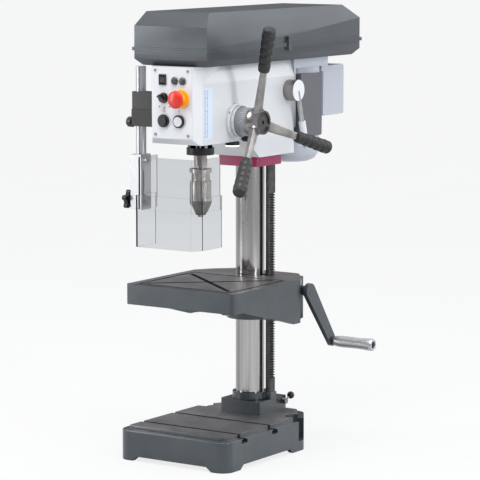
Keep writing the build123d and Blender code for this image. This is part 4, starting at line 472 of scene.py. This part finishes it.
dark_ink = ink_and_edge_shade("dark_print_ink", "25262A", "34353A")
red_ink = ink_and_edge_shade("red_print_ink", "B01818", "C22222")
label_blue = ink_and_edge_shade("pale_blue_label_film", "C3D0E2", "CFDAEA")
panel_low, panel_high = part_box("control_panel")
face = panel_low.y - 0.0003
stop = sum(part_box("stop_button"), Vector()) / 2
start = sum(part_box("start_button"), Vector()) / 2
selector = sum(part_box("selector_knob"), Vector()) / 2
bm = bmesh.new()
bmesh.ops.create_circle(bm, segments=40, radius=0.0035)
inner = bmesh.ops.extrude_edge_only(bm, edges=bm.edges)
inner_ring = [v for v in inner["geom"] if isinstance(v, bmesh.types.BMVert)]
bmesh.ops.scale(bm, verts=inner_ring, vec=(0.72, 0.72, 1))
bmesh.ops.rotate(bm, verts=bm.verts, cent=(0, 0, 0), matrix=Matrix.Rotation(radians(90), 3, "X"))
bmesh.ops.solidify(bm, geom=bm.faces, thickness=0.0002)
bmesh.ops.translate(bm, verts=bm.verts, vec=(stop.x, face, stop.z + 0.024))
bmesh.ops.recalc_face_normals(bm, faces=bm.faces)
finish_piece(bm, "stop_ring_print", "stand", [red_ink])
bm = bmesh.new()
bar(bm, (start.x - 0.0006, face, start.z + 0.0205), (start.x + 0.0006, face + 0.0005, start.z + 0.0275))
for n in (-1, 0, 1):
    at_x = selector.x + 0.014 * n
    at_z = selector.z - 0.0215 if n else selector.z - 0.0235
    bar(bm, (at_x - 0.0012, face, at_z), (at_x + 0.0012, face + 0.0005, at_z + 0.0035))
finish_piece(bm, "panel_prints", "stand", [dark_ink])

# a pale self-adhesive depth scale on the head's right side, ruled every 3 mm
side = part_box("head_casting")[1].x
label_front, label_back, label_foot, label_head = -0.298, -0.262, 0.768, 0.886
rules_front = label_front + 0.002
rules_foot = label_foot + 0.005
bm = bmesh.new()
bar(bm, (side - 0.0002, label_front, label_foot), (side + 0.0003, label_back, label_head))
finish_piece(bm, "scale_label", "stand", [label_blue])
bm = bmesh.new()
for n in range(37):
    z = rules_foot + 0.003 * n
    reach = 0.012 if n % 5 == 0 else 0.007
    bar(bm, (side, rules_front, z), (side + 0.0005, rules_front + reach, z + 0.0006))
bar(bm, (side, rules_front + 0.0125, rules_foot), (side + 0.0005, rules_front + 0.0131, rules_foot + 0.1086))
finish_piece(bm, "scale_rules", "stand", [dark_ink])
wear("contact_block", black_plastic)
refinish("switch_bezels", "switch_rings", [black_plastic], "black_plastic", 0.0005)
for node in ("rocker", "stop_button", "selector_knob", "quill_lock"):
    refinish(node, node + "_cap", [black_plastic], "black_plastic", 0.0007)


# moulded switch plastics: smooth, slightly glossy, coloured right through
def switch_plastic(name, dark, light, rough):
    material, tree, surface, at = new_material(name, Roughness=rough, Coat_Weight=0.2)
    cloud = add(tree, "ShaderNodeTexNoise", {"Vector": at}, Scale=160.0, Detail=3.0)
    tone = add(tree, "ShaderNodeValToRGB", {"Fac": cloud.outputs["Fac"]})
    tone.color_ramp.elements[0].color = linear(dark)
    tone.color_ramp.elements[1].color = linear(light)
    tree.links.new(tone.outputs["Color"], surface.inputs["Base Color"])
    bumped(tree, surface, cloud.outputs["Fac"], 0.05, 0.0002)
    return material


signal_red = switch_plastic("signal_red_plastic", "C4200F", "D02A18", 0.35)
signal_yellow = switch_plastic("signal_yellow_plastic", "EE9E08", "F2A814", 0.4)
key_white = switch_plastic("white_key_plastic", "C8CCD2", "DCDFE2", 0.3)
lamp_dark = switch_plastic("dark_lamp_plastic", "2A2F2E", "3A4140", 0.3)
refinish("estop_base", "estop_collar", [signal_yellow], "yellow_plastic", 0.0007)
refinish("estop_button", "estop_mushroom", [signal_red], "red_plastic", 0.0015, 3)
refinish("start_button", "start_key_cap", [key_white], "white_plastic", 0.0007)
refinish("pilot_lamps", "pilot_lenses", [lamp_dark], "black_plastic", 0.0005)

# ---------------------------------------------------------------- feed
# A white graduated flange, a dial and a steel hub with three satin bars that end in ribbed black grips.
refinish("feed_flange", "feed_flange_ring", [head_paint], "head_paint", 0.0008)
wear("feed_shaft", dark_steel)
refinish("spring_case", "spring_cup", [black_plastic], "black_plastic", 0.001)
drum_grey = switch_plastic("grey_drum_enamel", "7B7C82", "8C8D93", 0.4)
bm = machined_copy("feed_dial")
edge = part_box("feed_dial")[0].x + 0.0078
second_material(bm, lambda p, n: p.x > edge)
finish_piece(bm, "feed_dial_drum", "feed", [head_paint, drum_grey], ["feed_dial"], "grey_plastic", 0.0008)
axle = sum(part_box("feed_dial"), Vector()) / 2
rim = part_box("feed_dial")
bm = bmesh.new()
for n in range(60):
    reach = 0.007 if n % 5 == 0 else 0.004
    made = bar(bm, (rim[0].x + 0.001, -0.0003, 0.0364), (rim[0].x + 0.001 + reach, 0.0003, 0.0373))
    bmesh.ops.rotate(bm, verts=made, cent=(0, 0, 0), matrix=Matrix.Rotation(2 * pi * n / 60, 3, "X"))
bmesh.ops.translate(bm, verts=bm.verts, vec=(0, axle.y, axle.z))
finish_piece(bm, "feed_dial_rules", "feed", [dark_ink])
bm = bmesh.new()
for n in range(40):
    reach = 0.012 if n % 5 == 0 else 0.007
    made = bar(bm, (rim[1].x - 0.004 - reach, -0.0003, 0.0325), (rim[1].x - 0.004, 0.0003, 0.0333))
    bmesh.ops.rotate(bm, verts=made, cent=(0, 0, 0), matrix=Matrix.Rotation(2 * pi * n / 40, 3, "X"))
bmesh.ops.translate(bm, verts=bm.verts, vec=(0, axle.y, axle.z))
finish_piece(bm, "feed_drum_rules", "feed", [key_white])
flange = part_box("feed_flange")[1]
bm = bmesh.new()
made = bmesh.ops.create_cone(bm, segments=3, radius1=0.006, radius2=0.006, depth=0.0008,
                             cap_ends=True)["verts"]
bmesh.ops.rotate(bm, verts=made, cent=(0, 0, 0), matrix=Matrix.Rotation(radians(90), 3, "Y"))
bmesh.ops.rotate(bm, verts=made, cent=(0, 0, 0), matrix=Matrix.Rotation(radians(125), 3, "X"))
bmesh.ops.translate(bm, verts=made, vec=(flange.x - 0.0015, axle.y - 0.0325, axle.z + 0.02))
finish_piece(bm, "feed_pointer", "stand", [dark_ink])
bm = machined_copy("feed_hub")
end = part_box("feed_hub")[1].x - 0.002
second_material(bm, lambda p, n: p.x > end - 0.009 and (p - axle).yz.length < 0.0216)
finish_piece(bm, "feed_hub_boss", "feed", [satin_steel, dark_steel], ["feed_hub"], "ground_steel", 0.0009)
refinish("feed_levers", "feed_lever_bars", [satin_steel], "ground_steel", 0.0009)

# soft black rubber-like vinyl, moulded with a spiral of round ribs
grip_vinyl, tree, surface, at = new_material("ribbed_black_vinyl", Base_Color=linear("1D1D1E"))
grain = add(tree, "ShaderNodeTexNoise", {"Vector": at}, Scale=1100.0, Detail=2.0)
gloss = add(tree, "ShaderNodeMapRange", {"Value": grain.outputs["Fac"]}, To_Min=0.36, To_Max=0.56)
tree.links.new(gloss.outputs["Result"], surface.inputs["Roughness"])
bumped(tree, surface, grain.outputs["Fac"], 0.2, 0.0002)
refinish("feed_grips", "feed_grip_sleeves", [grip_vinyl], "grip_plastic", 0.0006)

# ---------------------------------------------------------------- quill and chuck
# A ground quill with a black depth collar, and a keyless chuck: steel sleeve, dark scalloped nose.
bm = machined_copy("quill")
collar_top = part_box("quill")[0].z + 0.0172
second_material(bm, lambda p, n: p.z < collar_top)
finish_piece(bm, "quill_tube", "quill_unit", [ground_tube, black_plastic], ["quill"], "dark_steel", 0.0006)
for node in ("quill_bearings", "spindle", "chuck_core", "chuck_jaw_1", "chuck_jaw_2", "chuck_jaw_3"):
    wear(node, satin_steel)
bm = machined_copy("chuck_sleeve")
nose_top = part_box("chuck_sleeve")[0].z + 0.0339
second_material(bm, lambda p, n: p.z < nose_top)
finish_piece(bm, "chuck_shell", "sleeve_unit", [satin_steel, dark_steel], ["chuck_sleeve"],
             "ground_steel", 0.0004)

# ---------------------------------------------------------------- drive, motor and electrics
# The motor hangs behind the head in light blue-grey paint; its drive box is behind it, and the dark
# plastic terminal box is on its right.
motor_paint, tree, surface, at = new_material("blue_grey_motor_paint", Coat_Weight=0.2, Coat_Roughness=0.2)
cloud = add(tree, "ShaderNodeTexNoise", {"Vector": at}, Scale=8.0, Detail=4.0)
tone = add(tree, "ShaderNodeValToRGB", {"Fac": cloud.outputs["Fac"]})
tone.color_ramp.elements[0].color = linear("A3A9B3")
tone.color_ramp.elements[1].color = linear("B4BAC4")
tree.links.new(tone.outputs["Color"], surface.inputs["Base Color"])
gloss = add(tree, "ShaderNodeMapRange", {"Value": cloud.outputs["Fac"]}, To_Min=0.3, To_Max=0.42)
tree.links.new(gloss.outputs["Result"], surface.inputs["Roughness"])
peel = add(tree, "ShaderNodeTexNoise", {"Vector": at}, Scale=400.0, Detail=2.0)
bumped(tree, surface, peel.outputs["Fac"], 0.14, 0.0004)
for node in ("motor_housing", "motor_bracket", "drive_box"):
    refinish(node, node + "_shell", [motor_paint], "motor_paint", 0.0016, 3)
terminal_grey = switch_plastic("charcoal_box_plastic", "4C4D54", "5A5B62", 0.5)
refinish("terminal_box", "terminal_box_shell", [terminal_grey], "grey_plastic", 0.0015)
for node in ("spindle_pulley", "motor_pulley"):
    wear(node, frosted_aluminium)
wear("motor_rotor", dark_steel)
wear("belt", black_plastic)
bm = machined_copy("tension_lever")
low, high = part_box("tension_lever")
hub_radius = 0.0255
hub = Vector((low.x + 0.0508, low.y + hub_radius, high.z - hub_radius))    # in the hub's marked face
sleeve_top = hub.z - 0.074


def on_hub_face_or_sleeve(p, n):
    return p.x > hub.x and (p - hub).yz.length < hub_radius + 0.0007 or p.z < sleeve_top


second_material(bm, on_hub_face_or_sleeve)
finish_piece(bm, "belt_lever", "belt_lever", [satin_steel, key_white], ["tension_lever"],
             "ground_steel", 0.0008)

# ---------------------------------------------------------------- belt cover
# Two pressed steel shells with a rolled rim, in dark textured powder coat; the lid is hinged on the left.
powder_coat, tree, surface, at = new_material("charcoal_powder_coat", Metallic=0.85)
cloud = add(tree, "ShaderNodeTexNoise", {"Vector": at}, Scale=6.0, Detail=4.0)
tone = add(tree, "ShaderNodeValToRGB", {"Fac": cloud.outputs["Fac"]})
tone.color_ramp.elements[0].color = linear("4F5256")
tone.color_ramp.elements[1].color = linear("5E6266")
tree.links.new(tone.outputs["Color"], surface.inputs["Base Color"])
speck = add(tree, "ShaderNodeTexNoise", {"Vector": at}, Scale=650.0, Detail=2.0)
gloss = add(tree, "ShaderNodeMapRange", {"Value": speck.outputs["Fac"]}, To_Min=0.3, To_Max=0.5)
tree.links.new(gloss.outputs["Result"], surface.inputs["Roughness"])
bumped(tree, surface, speck.outputs["Fac"], 0.35, 0.0005)
refinish("cover_tray", "cover_tray_pan", [powder_coat], "cover_paint", 0.0015)
refinish("cover_lid", "cover_lid_shell", [powder_coat], "cover_paint", 0.003, 3)

# ---------------------------------------------------------------- guard
# Black moulded clamp blocks on an aluminium post carry two bent clear polycarbonate sheets.
for node, soft in (("guard_mount", 0.0012), ("guard_clamp", 0.0012), ("star_knob", 0.0012)):
    refinish(node, node + "_moulding", [black_plastic], "black_plastic", soft)
for node in ("guard_post", "guard_bracket"):
    refinish(node, node + "_profile", [frosted_aluminium], "alu", 0.0006)

clear_sheet, tree, surface, at = new_material("clear_polycarbonate", Base_Color=linear("FFFFFF"), IOR=1.35,
                                              Roughness=0.0, Transmission_Weight=1.0)
haze = add(tree, "ShaderNodeTexNoise", {"Vector": at}, Scale=25.0, Detail=3.0)
bumped(tree, surface, haze.outputs["Fac"], 0.01, 0.0001)
# sawn and flamed edge of the sheet, painted deep grey as shade: the line stands in for the light piped along
# it
edge_painted_shade = ink_and_edge_shade("flamed_sheet_edge", "3A4144", "4C5457")
for node in ("upper_shield", "lower_shield"):
    bm = machined_copy(node)
    for polygon in bm.faces:
        if abs(polygon.normal.z) > 0.9 or polygon.calc_area() < 0.0006 and polygon.normal.y > 0.9:
            polygon.material_index = 1
    finish_piece(bm, node + "_sheet", body_of(node), [clear_sheet, edge_painted_shade], [node], "clear_sheet", smooth=5)

# ---------------------------------------------------------------- work lamp
# A small round lamp under the head with a warm diffuser.
lens, tree, surface, at = new_material("warm_lamp_diffuser", Base_Color=linear("FFF3D6"), Roughness=0.4,
                                       Emission_Color=linear("FFDFA0"), Emission_Strength=2.5)
cloud = add(tree, "ShaderNodeTexNoise", {"Vector": at}, Scale=300.0)
bumped(tree, surface, cloud.outputs["Fac"], 0.1, 0.0003)
bm = machined_copy("work_lamp")
lens_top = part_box("work_lamp")[0].z + 0.003
second_material(bm, lambda p, n: p.z > lens_top)
finish_piece(bm, "work_lamp_body", "stand", [lens, black_plastic], ["work_lamp"], "lamp_lens", 0.0004)
